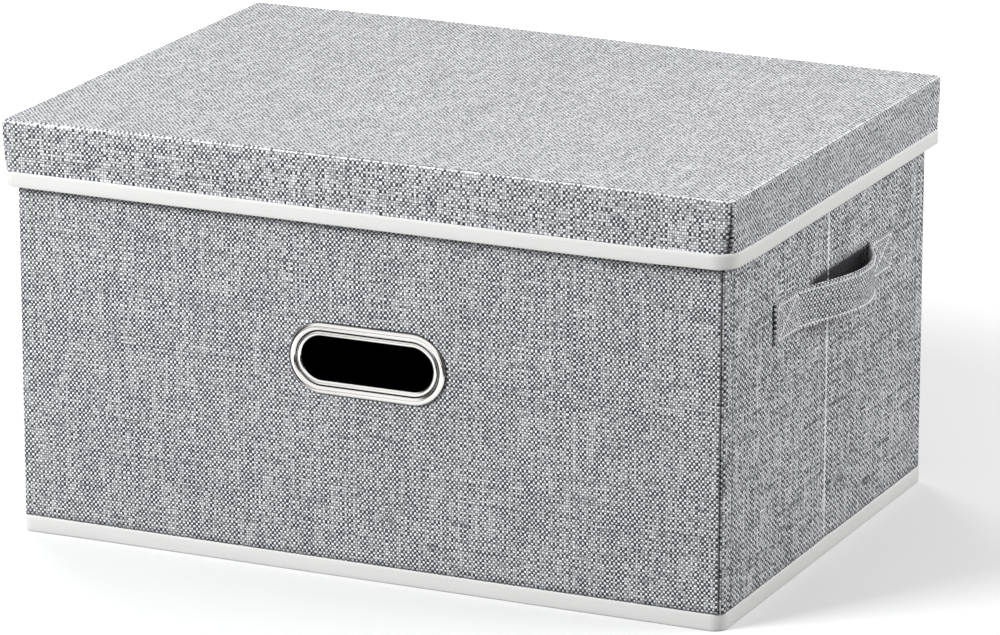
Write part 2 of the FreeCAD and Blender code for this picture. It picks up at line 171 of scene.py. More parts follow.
@dataclass(frozen=True)
class Places:
    """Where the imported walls, rim and lid are, read from the frame."""

    half_x: float
    half_y: float
    wall_foot: float
    wall_top: float
    lid_x: float
    lid_y: float
    lid_foot: float
    lid_top: float

    @property
    def wall_height(self) -> float:
        """Height of the walls without the foot binding."""
        return self.wall_top - self.wall_foot

    @classmethod
    def read(cls) -> "Places":
        """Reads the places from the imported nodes.

        Returns:
            The places.
        """
        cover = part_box("front_cover")
        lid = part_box("lid_cover")
        return cls(
            half_x=cover[1].x,
            half_y=-cover[0].y,
            wall_foot=cover[0].z,
            wall_top=cover[1].z,
            lid_x=lid[1].x,
            lid_y=lid[1].y,
            lid_foot=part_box("lid_binding")[0].z,
            lid_top=lid[1].z,
        )


# Mesh tools


def smooth_step(share: Array) -> Array:
    """The curve 3 s^2 - 2 s^3, which rises from 0 to 1 with level ends, for shares held between 0 and 1."""
    held = np.clip(share, 0.0, 1.0)
    return held * held * (3.0 - 2.0 * held)


def hump(distance: Array, width: float) -> Array:
    """The bell curve exp(-(d / width)^2)."""
    return np.exp(-((distance / width) ** 2))


def ripple(across: Array, up: Array, seed: int, shortest: float = 0.045) -> Array:
    """Slow waves of cloth over a board: a sum of sines whose lengths, directions and phases come from a seed.

    Args:
        across: first coordinate on the cloth.
        up: second coordinate on the cloth.
        seed: number that fixes the waves.
        shortest: length of the shortest wave.

    Returns:
        Heights between about -1 and 1.
    """
    draw = np.random.default_rng(seed)
    total = np.zeros(np.broadcast(across, up).shape)
    waves = 7
    for number in range(waves):
        length = shortest * (1.0 + 0.62 * number)
        heading = draw.uniform(0.0, math.tau)
        phase = draw.uniform(0.0, math.tau)
        share = math.sqrt((number + 1.0) / waves)
        along = across * math.cos(heading) + up * math.sin(heading)
        total += share * np.sin(math.tau / length * along + phase)
    return total / (0.7 * waves)


def grid(*parts: Array) -> Array:
    """One array of points or pairs from parts that broadcast, with a part for each coordinate."""
    return np.stack(np.broadcast_arrays(*parts), axis=-1)


def quad_corners(values: Array) -> Array:
    """The values at the four corners of every quad of a grid, in turn."""
    return np.stack([values[:-1, :-1], values[:-1, 1:], values[1:, 1:], values[1:, :-1]], axis=2)


def travelled(points: Array) -> Array:
    """Distance along a line of points, from 0 at its first."""
    return np.concatenate([[0.0], np.cumsum(np.hypot(*np.diff(points, axis=0).T))])


def raised(plan: Array, height: Array) -> Array:
    """Points from plan positions and their heights."""
    return grid(plan[..., 0], plan[..., 1], height)


def closed_up(values: Array) -> Array:
    """A grid with its first column again behind its last, which closes a ring."""
    return np.concatenate([values, values[:, :1]], axis=1)


def joined(*parts: Array) -> Array:
    """The parts in one array, one after another."""
    return np.concatenate(parts)


def closing(count: int) -> Array:
    """Shares that shrink a ring step by step until it all but closes on its middle."""
    return 1.0 - np.append(np.linspace(0.0, 1.0, count)[1:-1], 0.999)


def stops(start: float, end: float, step: float, fine_start: bool = False, fine_end: bool = False) -> Array:
    """Places from start to end, evenly spaced, with closer ones next to an end where cloth turns sharply.

    Args:
        start: first place.
        end: last place.
        step: usual spacing.
        fine_start: whether to add close places at the start.
        fine_end: whether to add close places at the end.

    Returns:
        The places in rising order.
    """
    close = np.array([0.15, 0.35, 0.6, 0.9, 1.3, 1.8, 2.5, 3.5]) * MM
    parts = [np.linspace(start, end, max(2, round((end - start) / step) + 1))]
    if fine_start:
        parts.append(start + close)
    if fine_end:
        parts.append(end - close)
    return np.unique(np.round(np.concatenate(parts), 6))


@dataclass
class Surface:
    """A sheet of quads on a grid of points, rows by columns, with cloth coordinates for its weave.

    Each quad joins neighbours along a row and along a column. A ring joins its last column to its first, and
    a loop its last row to its first. The cloth's grid then has one column or row more than the points. Kept
    marks the quads that stay, and pressed is each point's painted highlight or, below 0, its painted
    shade.
    """

    points: Array
    cloth: Array
    ring: bool = False
    loop: bool = False
    start_cap: bool = False
    end_cap: bool = False
    kept: Array | None = None
    pressed: Array | None = None
    corner_cloth: Array | None = None

    def faces(self) -> tuple[list[list[int]], Array]:
        """Faces and the cloth coordinates of their corners.

        Returns:
            The faces as lists of point numbers, and one pair of cloth coordinates for each corner in turn.
        """
        rows, columns = self.points.shape[:2]
        number = np.arange(rows * columns).reshape(rows, columns)
        closed = closed_up(number) if self.ring else number
        quads = quad_corners(joined(closed, closed[:1]) if self.loop else closed)
        corners = quad_corners(self.cloth) if self.corner_cloth is None else self.corner_cloth
        if self.kept is not None:
            quads, corners = quads[self.kept], corners[self.kept]
        faces = quads.reshape(-1, 4).tolist()
        pairs = [corners.reshape(-1, 2)]
        if self.start_cap:
            faces.append(number[0, ::-1].tolist())
            pairs.append(self.cloth[0, :columns][::-1])
        if self.end_cap:
            faces.append(number[-1].tolist())
            pairs.append(self.cloth[-1, :columns])
        return faces, np.concatenate(pairs)


def signed_volume(points: Array, faces: list[list[int]]) -> float:
    """Volume inside closed faces: the sum of m . (p x q) / 6 over each edge pq about its face's middle m.

    Args:
        points: the points.
        faces: each face as a list of point numbers.

    Returns:
        The volume, negative where the faces point inwards.
    """
    quads = np.array([face for face in faces if len(face) == 4])
    total = 0.0
    for rims in [points[quads]] + [points[[face]] for face in faces if len(face) != 4]:
        turns = np.cross(rims, np.roll(rims, -1, axis=1)).sum(axis=1)
        total += float((rims.mean(axis=1) * turns).sum()) / 6.0
    return total


def in_scene(name: str, data: bpy.types.ID) -> Piece:
    """Puts a new object in the scene.

    Args:
        name: its name.
        data: its mesh, lamp or camera.

    Returns:
        The object.
    """
    holder = bpy.data.objects.new(name, data)
    bpy.context.scene.collection.objects.link(holder)
    return holder


def add_piece(
    name: str, surfaces: Sequence[Surface], finish: Material, smooth: bool = True, closed: bool = False
) -> Piece:
    """Makes one piece from one or more surfaces.

    Args:
        name: the piece's name.
        surfaces: the grids that it is made of.
        finish: its material.
        smooth: whether its faces are shaded smooth.
        closed: whether each surface is closed, and is turned so that it faces outwards.

    Returns:
        The piece.
    """
    points, faces, pairs, pressed = [], [], [], []
    count = 0
    for surface in surfaces:
        own_points = surface.points.reshape(-1, 3)
        own_faces, own_pairs = surface.faces()
        if closed and signed_volume(own_points, own_faces) < 0.0:
            sizes = [len(face) for face in own_faces]
            ends = np.cumsum(sizes)
            order = np.concatenate([np.arange(end - size, end)[::-1] for size, end in zip(sizes, ends)])
            own_faces = [face[::-1] for face in own_faces]
            own_pairs = own_pairs[order]
        line = surface.pressed if surface.pressed is not None else np.zeros(surface.points.shape[:2])
        used = np.unique(np.concatenate([np.asarray(face) for face in own_faces]))
        renumbered = np.full(len(own_points), -1)
        renumbered[used] = np.arange(len(used)) + count
        faces += [renumbered[face].tolist() for face in own_faces]
        points.append(own_points[used])
        pressed.append(line.reshape(-1)[used])
        pairs.append(own_pairs)
        count += len(used)
    mesh = bpy.data.meshes.new(name)
    mesh.from_pydata(np.concatenate(points).tolist(), [], faces)
    cloth = np.concatenate(pairs).astype(np.float32)
    mesh.uv_layers.new(name=CLOTH_MAP).uv.foreach_set("vector", cloth.ravel())
    marks = np.concatenate(pressed).astype(np.float32)
    mesh.attributes.new(PAINTED_LIGHT, "FLOAT", "POINT").data.foreach_set("value", marks)
    mesh.polygons.foreach_set("use_smooth", np.full(len(mesh.polygons), smooth))
    mesh.materials.append(finish)
    mesh.update()
    return in_scene(name, mesh)


def thicken(piece: Piece, thickness: float) -> None:
    """Gives a sheet its thickness on the inner side.

    Args:
        piece: the sheet, which faces outwards.
        thickness: how thick it becomes.
    """
    layer = piece.modifiers.new("Thickness", "SOLIDIFY")
    layer.thickness = thickness
    layer.offset = -1.0
    layer.use_even_offset = True


def report(piece: Piece, note: str) -> None:
    """Logs one finished piece."""
    log.info("%s: %s, %d faces", piece.name, note, len(piece.data.polygons))


@dataclass(frozen=True)
class RingPath:
    """A closed path round a rounded rectangle, anticlockwise from the left end of the front.

    Each point is centre + radius * normal. The centre walks a unit rectangle while the normal is held, and
    the normal turns a quarter while the centre waits at a corner.
    """

    along_x: int = 96
    along_y: int = 68
    per_corner: int = 28

    def walk(self) -> tuple[Array, Array, Array]:
        """Unit rectangle positions, normals and wall numbers of the path's points.

        Returns:
            Two arrays of pairs, and the wall of each point, where each wall gets half of a corner.
        """
        centres, normals, walls = [], [], []
        corners = np.array([(-1.0, -1.0), (1.0, -1.0), (1.0, 1.0), (-1.0, 1.0)])
        for wall in range(4):
            here, there = corners[wall], corners[(wall + 1) % 4]
            count = self.along_x if wall % 2 == 0 else self.along_y
            share = (np.arange(count) / count)[:, None]
            heading = QUARTER * (wall - 1)
            centres.append(here + (there - here) * share)
            normals.append(np.tile([math.cos(heading), math.sin(heading)], (count, 1)))
            walls.append(np.full(count, wall))
            turn = heading + QUARTER * np.arange(self.per_corner) / self.per_corner
            centres.append(np.tile(there, (self.per_corner, 1)))
            normals.append(grid(np.cos(turn), np.sin(turn)))
            half = self.per_corner // 2
            walls.append(joined(np.full(half, wall), np.full(self.per_corner - half, (wall + 1) % 4)))
        return np.concatenate(centres), np.concatenate(normals), np.concatenate(walls)

    def nearness(self) -> Array:
        """Share of each corner at each path point, going evenly from one corner to the next along a wall.

        Returns:
            Points by four, for the right front, right rear, left rear and left front corner.
        """
        shares = []
        for wall in range(4):
            count = self.along_x if wall % 2 == 0 else self.along_y
            ahead = (np.arange(count) / count)[:, None]
            corner, last = np.eye(4)[wall], np.eye(4)[wall - 1]
            shares.append(last * (1.0 - ahead) + corner * ahead)
            shares.append(np.tile(corner, (self.per_corner, 1)))
        return np.concatenate(shares)

    def plan(self, half_x: Array, half_y: Array, radii: Array) -> Array:
        """Plan points of one ring for each entry of the sizes.

        Args:
            half_x: half lengths of the rings.
            half_y: half depths of the rings.
            radii: corner radii, rings by the four corners that nearness names.

        Returns:
            Points, rings by path by two.
        """
        centres, normals, _ = self.walk()
        half = grid(np.atleast_1d(half_x), np.atleast_1d(half_y))[:, None, :]
        turn = (np.atleast_2d(radii) @ self.nearness().T)[..., None]
        return centres * (half - turn) + normals * turn

    def distances(self, half_x: float, half_y: float, radii: Sequence[float]) -> Array:
        """Distance along one ring at each of its points, and once more where it comes back to the first."""
        ring = self.plan(half_x, half_y, radii)[0]
        return travelled(joined(ring, ring[:1]))

    def around(self, corner: int, reach: float) -> Array:
        """Weight of the path points near a corner: 1 in the corner, falling to 0 at a share of the walls."""
        return smooth_step((self.nearness()[:, corner] - (1.0 - reach)) / reach)


# Finishes


def toned(colour: Triple, share: float) -> Colour:
    """A colour made darker or lighter by a share, and no part of it above 1."""
    return (*(min(1.0, part * share) for part in colour), 1.0)


class Recipe:
    """The node tree of a material or world, with short calls that add its nodes and join them."""

    def __init__(self, owner: Material | bpy.types.World, output: str = "OutputMaterial") -> None:
        """Empties the owner's node tree and adds its output.

        Args:
            owner: the new material or world.
            output: type of its output node, without its ShaderNode prefix.
        """
        self.owner = owner
        owner.use_nodes = True
        self.tree = owner.node_tree
        self.tree.nodes.clear()
        self.output = self.add(output)

    @classmethod
    def of(cls, name: str) -> "Recipe":
        """The recipe of a new material with this name."""
        return cls(bpy.data.materials.new(name))

    def add(self, kind: str, settings: dict[str, Any] | None = None, **inputs: Any) -> bpy.types.Node:
        """Adds a node.

        Args:
            kind: the node's type without its ShaderNode prefix.
            settings: properties of the node.
            **inputs: values or sockets for its inputs, with spaces in their names as underscores.

        Returns:
            The node.
        """
        node = self.tree.nodes.new(f"ShaderNode{kind}")
        for key, value in (settings or {}).items():
            setattr(node, key, value)
        for key, value in inputs.items():
            self.feed(node.inputs[key.replace("_", " ")], value)
        return node

    def feed(self, socket: Socket, value: Any) -> None:
        """Gives an input its value.

        Args:
            socket: the input.
            value: a number, vector or colour to set, or an output to link.
        """
        if isinstance(value, Socket):
            self.tree.links.new(value, socket)
        else:
            socket.default_value = value

    def fed(
        self, kind: str, settings: dict[str, Any], inputs: Sequence[int], terms: Sequence, output: int = 0
    ) -> Socket:
        """Adds a node whose inputs are known by their numbers.

        Args:
            kind: the node's type without its ShaderNode prefix.
            settings: properties of the node.
            inputs: numbers of the inputs.
            terms: what each of them gets.
            output: number of the output that is wanted.

        Returns:
            That output.
        """
        node = self.add(kind, settings)
        for index, term in zip(inputs, terms):
            self.feed(node.inputs[index], term)
        return node.outputs[output]

    def maths(self, operation: str, *terms: Any) -> Socket:
        """The result of a Math node."""
        return self.fed("Math", {"operation": operation}, range(3), terms)

    def times(self, first: Any, second: Any) -> Socket:
        """The product of two numbers."""
        return self.maths("MULTIPLY", first, second)

    def plus(self, first: Any, second: Any) -> Socket:
        """The sum of two numbers."""
        return self.maths("ADD", first, second)

    def between(self, share: Any, low: Any, high: Any) -> Socket:
        """A number that goes from low to high as share goes from 0 to 1."""
        return self.fed("Mix", {"data_type": "FLOAT"}, (0, 2, 3), (share, low, high))

    def colour_between(self, share: Any, low: Any, high: Any) -> Socket:
        """A colour that goes from low to high as share goes from 0 to 1."""
        return self.fed("Mix", {"data_type": "RGBA"}, (0, 6, 7), (share, low, high), 2)

    def stretched(
        self, value: Any, low: float, high: float, to_low: float = 0.0, to_high: float = 1.0
    ) -> Socket:
        """A number mapped from one range to another and held inside it."""
        return self.fed("MapRange", {}, range(5), (value, low, high, to_low, to_high))

    def pair(self, first: Any, second: Any, third: Any = 0.0) -> Socket:
        """A vector of two or three numbers."""
        return self.fed("CombineXYZ", {}, range(3), (first, second, third))

    def noise(self, place: Any, scale: float, detail: float = 2.0, roughness: float = 0.5) -> Socket:
        """Noise between 0 and 1 at a place."""
        return self.add("TexNoise", Vector=place, Scale=scale, Detail=detail, Roughness=roughness).outputs[0]

    def cloth(self) -> tuple[Socket, Socket, Socket]:
        """The cloth coordinates in metres.

        Returns:
            Both as a vector, the one across and the one upwards.
        """
        place = self.add("UVMap", {"uv_map": CLOTH_MAP}).outputs[0]
        apart = self.add("SeparateXYZ", Vector=place)
        return place, apart.outputs[0], apart.outputs[1]

    def bump(self, height: Any, distance: float, strength: float = 1.0) -> Socket:
        """A normal raised by a height."""
        return self.add("Bump", Height=height, Distance=distance, Strength=strength).outputs[0]

    def finish(self, **inputs: Any) -> Material:
        """Ends with a principled surface that has these inputs, and gives the finished material."""
        self.feed(self.output.inputs[0], self.add("BsdfPrincipled", **inputs).outputs[0])
        return self.owner


@dataclass(frozen=True)
class WovenCloth:
    """Plain weave of slubby light and dark yarns, with a linen look."""

    name: str = "cover fabric"
    warp_pitch: float = 1.37 * MM
    weft_pitch: float = 1.57 * MM
    warp_tone: float = 0.10
    weft_tone: float = 1.06
    warp_swing: float = 0.24
    weft_swing: float = 0.26
    speck: float = 0.28
    waver: float = 1.3 * MM
    waver_scale: float = 150.0
    uneven: float = 1.1
    uneven_scale: float = 0.61
    slub_span: tuple[float, float] = (0.34, 0.66)
    light_yarn: Colour = (0.97, 0.975, 1.0, 1.0)
    dark_yarn: Colour = (0.055, 0.062, 0.082, 1.0)
    # Colour of the painted shade between the yarns, in seams and around the strap.
    gap: Colour = (0.018, 0.018, 0.022, 1.0)

    def make(self) -> Material:
        """Builds the material.

        A cell of the weave shows its weft yarn where the sum of its column and row is odd, and its warp yarn
        elsewhere. The cells waver and differ in width. A yarn keeps one slowly changing tone all along, and
        painted shade darkens it towards the shade colour at its edges and where it dives. The painted light
        attribute adds a painted highlight on folds, and painted shade in seams and around the strap.

        Returns:
            The material.
        """
        r = Recipe.of(self.name)
        place, across, up = r.cloth()
        drift = r.maths("SUBTRACT", r.noise(place, self.waver_scale, 2.0), 0.5)
        column_place = r.maths("DIVIDE", r.maths("MULTIPLY_ADD", drift, self.waver, across), self.warp_pitch)
        uneven = r.noise(r.pair(r.times(column_place, self.uneven_scale), 0.0), 1.0)
        column_place = r.maths("MULTIPLY_ADD", uneven, self.uneven, column_place)
        sway = r.maths("SUBTRACT", r.noise(r.pair(up, across, 3.0), self.waver_scale, 2.0), 0.5)
        row_place = r.maths("DIVIDE", r.maths("MULTIPLY_ADD", sway, self.waver, up), self.weft_pitch)
        uneven = r.noise(r.pair(r.times(row_place, self.uneven_scale), 4.0), 1.0)
        row_place = r.maths("MULTIPLY_ADD", uneven, self.uneven, row_place)
        column = r.maths("FLOOR", column_place)
        row = r.maths("FLOOR", row_place)
        in_column = r.maths("FRACT", column_place)
        in_row = r.maths("FRACT", row_place)
        half_sum = r.maths("FRACT", r.times(r.plus(column, row), 0.5))
        weft_shows = r.maths("GREATER_THAN", half_sum, 0.25)

        warp_slub = r.noise(r.pair(r.times(column, 3.71), r.times(row_place, 0.04)), 1.0)
        weft_slub = r.noise(r.pair(r.times(column_place, 0.05), r.times(row, 5.13), 9.0), 1.0)
        swing = self.warp_swing
        warp_tone = r.plus(r.stretched(warp_slub, *self.slub_span, -swing, swing), self.warp_tone)
        swing = self.weft_swing
        weft_tone = r.plus(r.stretched(weft_slub, *self.slub_span, -swing, swing), self.weft_tone)
        speck = r.add("TexWhiteNoise", {"noise_dimensions": "2D"}, Vector=r.pair(column, row)).outputs[0]
        tone = r.between(weft_shows, warp_tone, weft_tone)
        tone = r.plus(tone, r.stretched(speck, 0.0, 1.0, -self.speck, self.speck))

        over = r.between(weft_shows, in_column, in_row)
        length = r.between(weft_shows, in_row, in_column)
        over_edge = r.maths("ABSOLUTE", r.maths("MULTIPLY_ADD", over, 2.0, -1.0))
        dive = r.maths("ABSOLUTE", r.maths("MULTIPLY_ADD", length, 2.0, -1.0))
        crown = r.maths("SUBTRACT", 1.0, r.maths("POWER", over_edge, 3.2))
        crest = r.maths("SUBTRACT", 1.0, r.times(r.maths("POWER", dive, 3.0), 0.55))
        height = r.times(crown, crest)

        along_warp = r.pair(r.times(column_place, 7.0), r.times(row_place, 1.1))
        along_weft = r.pair(r.times(column_place, 1.1), r.times(row_place, 7.0))
        fibres = r.between(weft_shows, r.noise(along_warp, 1.0), r.noise(along_weft, 1.0))
        tone = r.plus(tone, r.stretched(fibres, 0.3, 0.7, -0.12, 0.12))
        # Painted light attribute: above 0 a painted highlight on folds, below 0 painted shade.
        mark = r.add("Attribute", {"attribute_name": PAINTED_LIGHT}).outputs[2]
        fold = r.maths("MAXIMUM", mark, 0.0)
        shade = r.maths("MAXIMUM", r.times(mark, -1.0), 0.0)
        tone = r.plus(tone, r.times(fold, 0.8))

        yarn = r.colour_between(r.stretched(tone, 0.0, 1.0), self.dark_yarn, self.light_yarn)
        # Painted shade of the relief: each yarn fades to the shade colour at its edges and where it dives.
        lit = r.plus(r.maths("POWER", height, 0.8), r.times(fold, 0.7))
        colour = r.colour_between(r.stretched(lit, 0.0, 1.0), self.gap, yarn)
        colour = r.colour_between(r.stretched(shade, 0.0, 1.0), colour, self.gap)
        relief = r.maths("MULTIPLY_ADD", fibres, 0.12, height)
        return r.finish(
            Base_Color=colour,
            Roughness=0.88,
            Specular_IOR_Level=0.15,
            Sheen_Weight=0.25,
            Sheen_Roughness=0.35,
            Normal=r.bump(relief, 0.3 * MM, 0.9),
        )


@dataclass(frozen=True)
class PressedCloth:
    """Non-woven cloth: bonded fibres with a small embossed diamond grid."""

    name: str
    colour: Triple
    emboss_pitch: float = 2.4 * MM
    mottle: float = 0.10

    def make(self) -> Material:
        """Builds the material, whose dents lie where two slanted waves both dip.

        Returns:
            The material.
        """
        r = Recipe.of(self.name)
        place, across, up = r.cloth()
        turn = math.tau / self.emboss_pitch
        rising = r.maths("SINE", r.times(r.plus(across, up), turn))
        falling = r.maths("SINE", r.times(r.maths("SUBTRACT", across, up), turn))
        dent = r.stretched(r.times(rising, falling), 0.55, 0.95)
        fibres = r.noise(place, 2600.0, 3.0, 0.65)
        cloud = r.noise(place, 60.0, 3.0)
        shade = r.stretched(r.maths("MULTIPLY_ADD", cloud, 0.5, r.times(fibres, 0.5)), 0.3, 0.7)
        shade = r.maths("SUBTRACT", shade, r.times(dent, 0.5))
        dark, light = toned(self.colour, 1.0 - self.mottle), toned(self.colour, 1.0 + self.mottle)
        relief = r.maths("SUBTRACT", fibres, dent)
        return r.finish(
            Base_Color=r.colour_between(r.stretched(shade, 0.0, 1.0), dark, light),
            Roughness=0.85,
            Specular_IOR_Level=0.2,
            Normal=r.bump(relief, 0.1 * MM, 0.5),
        )


@dataclass(frozen=True)
class BindingTape:
    """White folded tape of bonded fibre, faintly mottled and ribbed along its folds."""

    colour: Triple = (0.72, 0.72, 0.71)

    def make(self) -> Material:
        """Builds the material from fibre noise and slow clouds drawn out along the tape.

        Returns:
            The material.
        """
        r = Recipe.of("binding tape")
        place, across, up = r.cloth()
        fibres = r.noise(place, 1900.0, 3.0, 0.6)
        cloud = r.noise(r.pair(r.times(across, 18.0), r.times(up, 160.0)), 1.0, 2.0)
        shade = r.stretched(r.maths("MULTIPLY_ADD", fibres, 0.45, r.times(cloud, 0.55)), 0.32, 0.68)
        relief = r.maths("MULTIPLY_ADD", cloud, 1.6, fibres)
        return r.finish(
            Base_Color=r.colour_between(shade, toned(self.colour, 0.955), toned(self.colour, 1.035)),
            Roughness=0.62,
            Specular_IOR_Level=0.3,
            Normal=r.bump(relief, 0.08 * MM, 0.35),
        )


@dataclass(frozen=True)
class SewingThread:
    """Two-ply light grey thread."""

    colour: Triple = (0.92, 0.92, 0.94)

    def make(self) -> Material:
        """Builds the material: slanted stripes for the twist of the plies.

        Returns:
            The material.
        """
        r = Recipe.of("sewing thread")
        place = r.add("TexCoord").outputs["Object"]
        apart = r.add("SeparateXYZ", Vector=place)
        slant = r.plus(r.plus(apart.outputs[0], apart.outputs[1]), apart.outputs[2])
        ply = r.maths("SINE", r.times(slant, 9000.0))
        low, high = toned(self.colour, 0.78), toned(self.colour, 1.0)
        return r.finish(
            Base_Color=r.colour_between(r.stretched(ply, -1.0, 1.0), low, high),
            Roughness=0.55,
            Normal=r.bump(ply, 0.05 * MM, 0.5),
        )


@dataclass(frozen=True)
class Greyboard:
    """Unprinted cardboard with flecks and a faint machine grain."""

    colour: Triple = (0.47, 0.40, 0.31)

    def make(self) -> Material:
        """Builds the material from clouds, flecks and drawn-out grain.

        Returns:
            The material.
        """
        r = Recipe.of("greyboard")
        place = r.add("TexCoord").outputs["Object"]
        cloud = r.noise(place, 40.0, 4.0)
        flecks = r.stretched(r.noise(place, 900.0, 2.0, 0.7), 0.62, 0.72)
        apart = r.add("SeparateXYZ", Vector=place)
        squeezed = (r.times(apart.outputs[axis], scale) for axis, scale in enumerate((60.0, 60.0, 700.0)))
        grain = r.noise(r.pair(*squeezed), 1.0, 3.0)
        low, high = toned(self.colour, 0.82), toned(self.colour, 1.12)
        base = r.colour_between(r.stretched(r.plus(cloud, grain), 0.7, 1.3), low, high)
        colour = r.colour_between(r.times(flecks, 0.45), base, (0.16, 0.13, 0.10, 1.0))
        return r.finish(Base_Color=colour, Roughness=0.9, Normal=r.bump(grain, 0.06 * MM, 0.4))


@dataclass(frozen=True)
class ChromedSteel:
    """Bright chromed steel with faint polishing marks, and painted shade in its narrow gaps."""

    colour: Colour = (0.93, 0.915, 0.89, 1.0)
    gap: Colour = (0.03, 0.026, 0.022, 1.0)

    def make(self) -> Material:
        """Builds the material: roughness from slow noise, and painted shade where painted light is below 0.

        Returns:
            The material.
        """
        r = Recipe.of("chromed steel")
        place = r.add("TexCoord").outputs["Object"]
        rough = r.stretched(r.noise(place, 90.0, 2.0), 0.35, 0.65, 0.05, 0.12)
        mark = r.add("Attribute", {"attribute_name": PAINTED_LIGHT}).outputs[2]
        shade = r.stretched(mark, 0.0, -1.0)
        return r.finish(
            Base_Color=r.colour_between(shade, self.colour, self.gap),
            Metallic=1.0,
            Roughness=rough,
            Normal=r.bump(r.noise(place, 120.0, 2.0), 0.004 * MM, 0.2),
        )


@dataclass(frozen=True)
class Finishes:
    """The materials, made once and shared."""

    cover: Material
    lid: Material
    side: Material
    lining: Material
    insert: Material
    binding: Material
    thread: Material
    board: Material
    chrome: Material

    @classmethod
    def make(cls) -> "Finishes":
        """Makes every material. The lid and the sides have the cover's cloth in a coarser weave, and the
        lid's lighter tones paint the brighter light that falls on the lid.

        Returns:
            The finishes.
        """
        # Lighter tones than the cover: painted light for the brighter lid.
        lid = WovenCloth("lid fabric", 1.42 * MM, 1.65 * MM, warp_tone=0.18, weft_tone=1.13, speck=0.4)
        side = WovenCloth("side fabric", 2.1 * MM, 1.6 * MM, 0.17, 0.98, 0.42, 0.46, speck=0.36)
        return cls(
            cover=WovenCloth().make(),
            lid=lid.make(),
            side=side.make(),
            lining=PressedCloth("lining fabric", (0.024, 0.024, 0.026)).make(),
            insert=PressedCloth("insert fabric", (0.045, 0.045, 0.048)).make(),
            binding=BindingTape().make(),
            thread=SewingThread().make(),
            board=Greyboard().make(),
            chrome=ChromedSteel().make(),
        )


# Sub-assemblies


@dataclass
class CornerWalk:
    """A path along a long wall that turns its corners onto the sides.

    Pairs of sizes are for the end at negative travel and the end at positive travel.
    """

    half: float
    out: float
    radii: tuple[float, float]
    bulges: tuple[float, float] = (0.0, 0.0)

    def at(self, travel: Array) -> tuple[Array, ...]:
        """Positions and normals along the path.

        Up to straight = half + bulge - radius the path runs along the wall. Then it turns a quarter about the
        corner's centre, with angle = travel past the straight / radius, and runs back along the side.

        Args:
            travel: signed distance from the middle of the wall, along the path.

        Returns:
            Distance along the wall, distance out, and the two parts of the outward normal.
        """
        low = travel < 0.0
        radius = np.where(low, *self.radii)
        straight = self.half + np.where(low, *self.bulges) - radius
        past = np.abs(travel) - straight
        quarter = radius * QUARTER
        angle = np.clip(past, 0.0, quarter) / radius
        tail = np.maximum(past - quarter, 0.0)
        sign = np.sign(travel)
        along = np.where(past <= 0.0, travel, sign * (straight + radius * np.sin(angle)))
        out = self.out - radius + radius * np.cos(angle) - tail
        return along, out, sign * np.sin(angle), np.cos(angle)


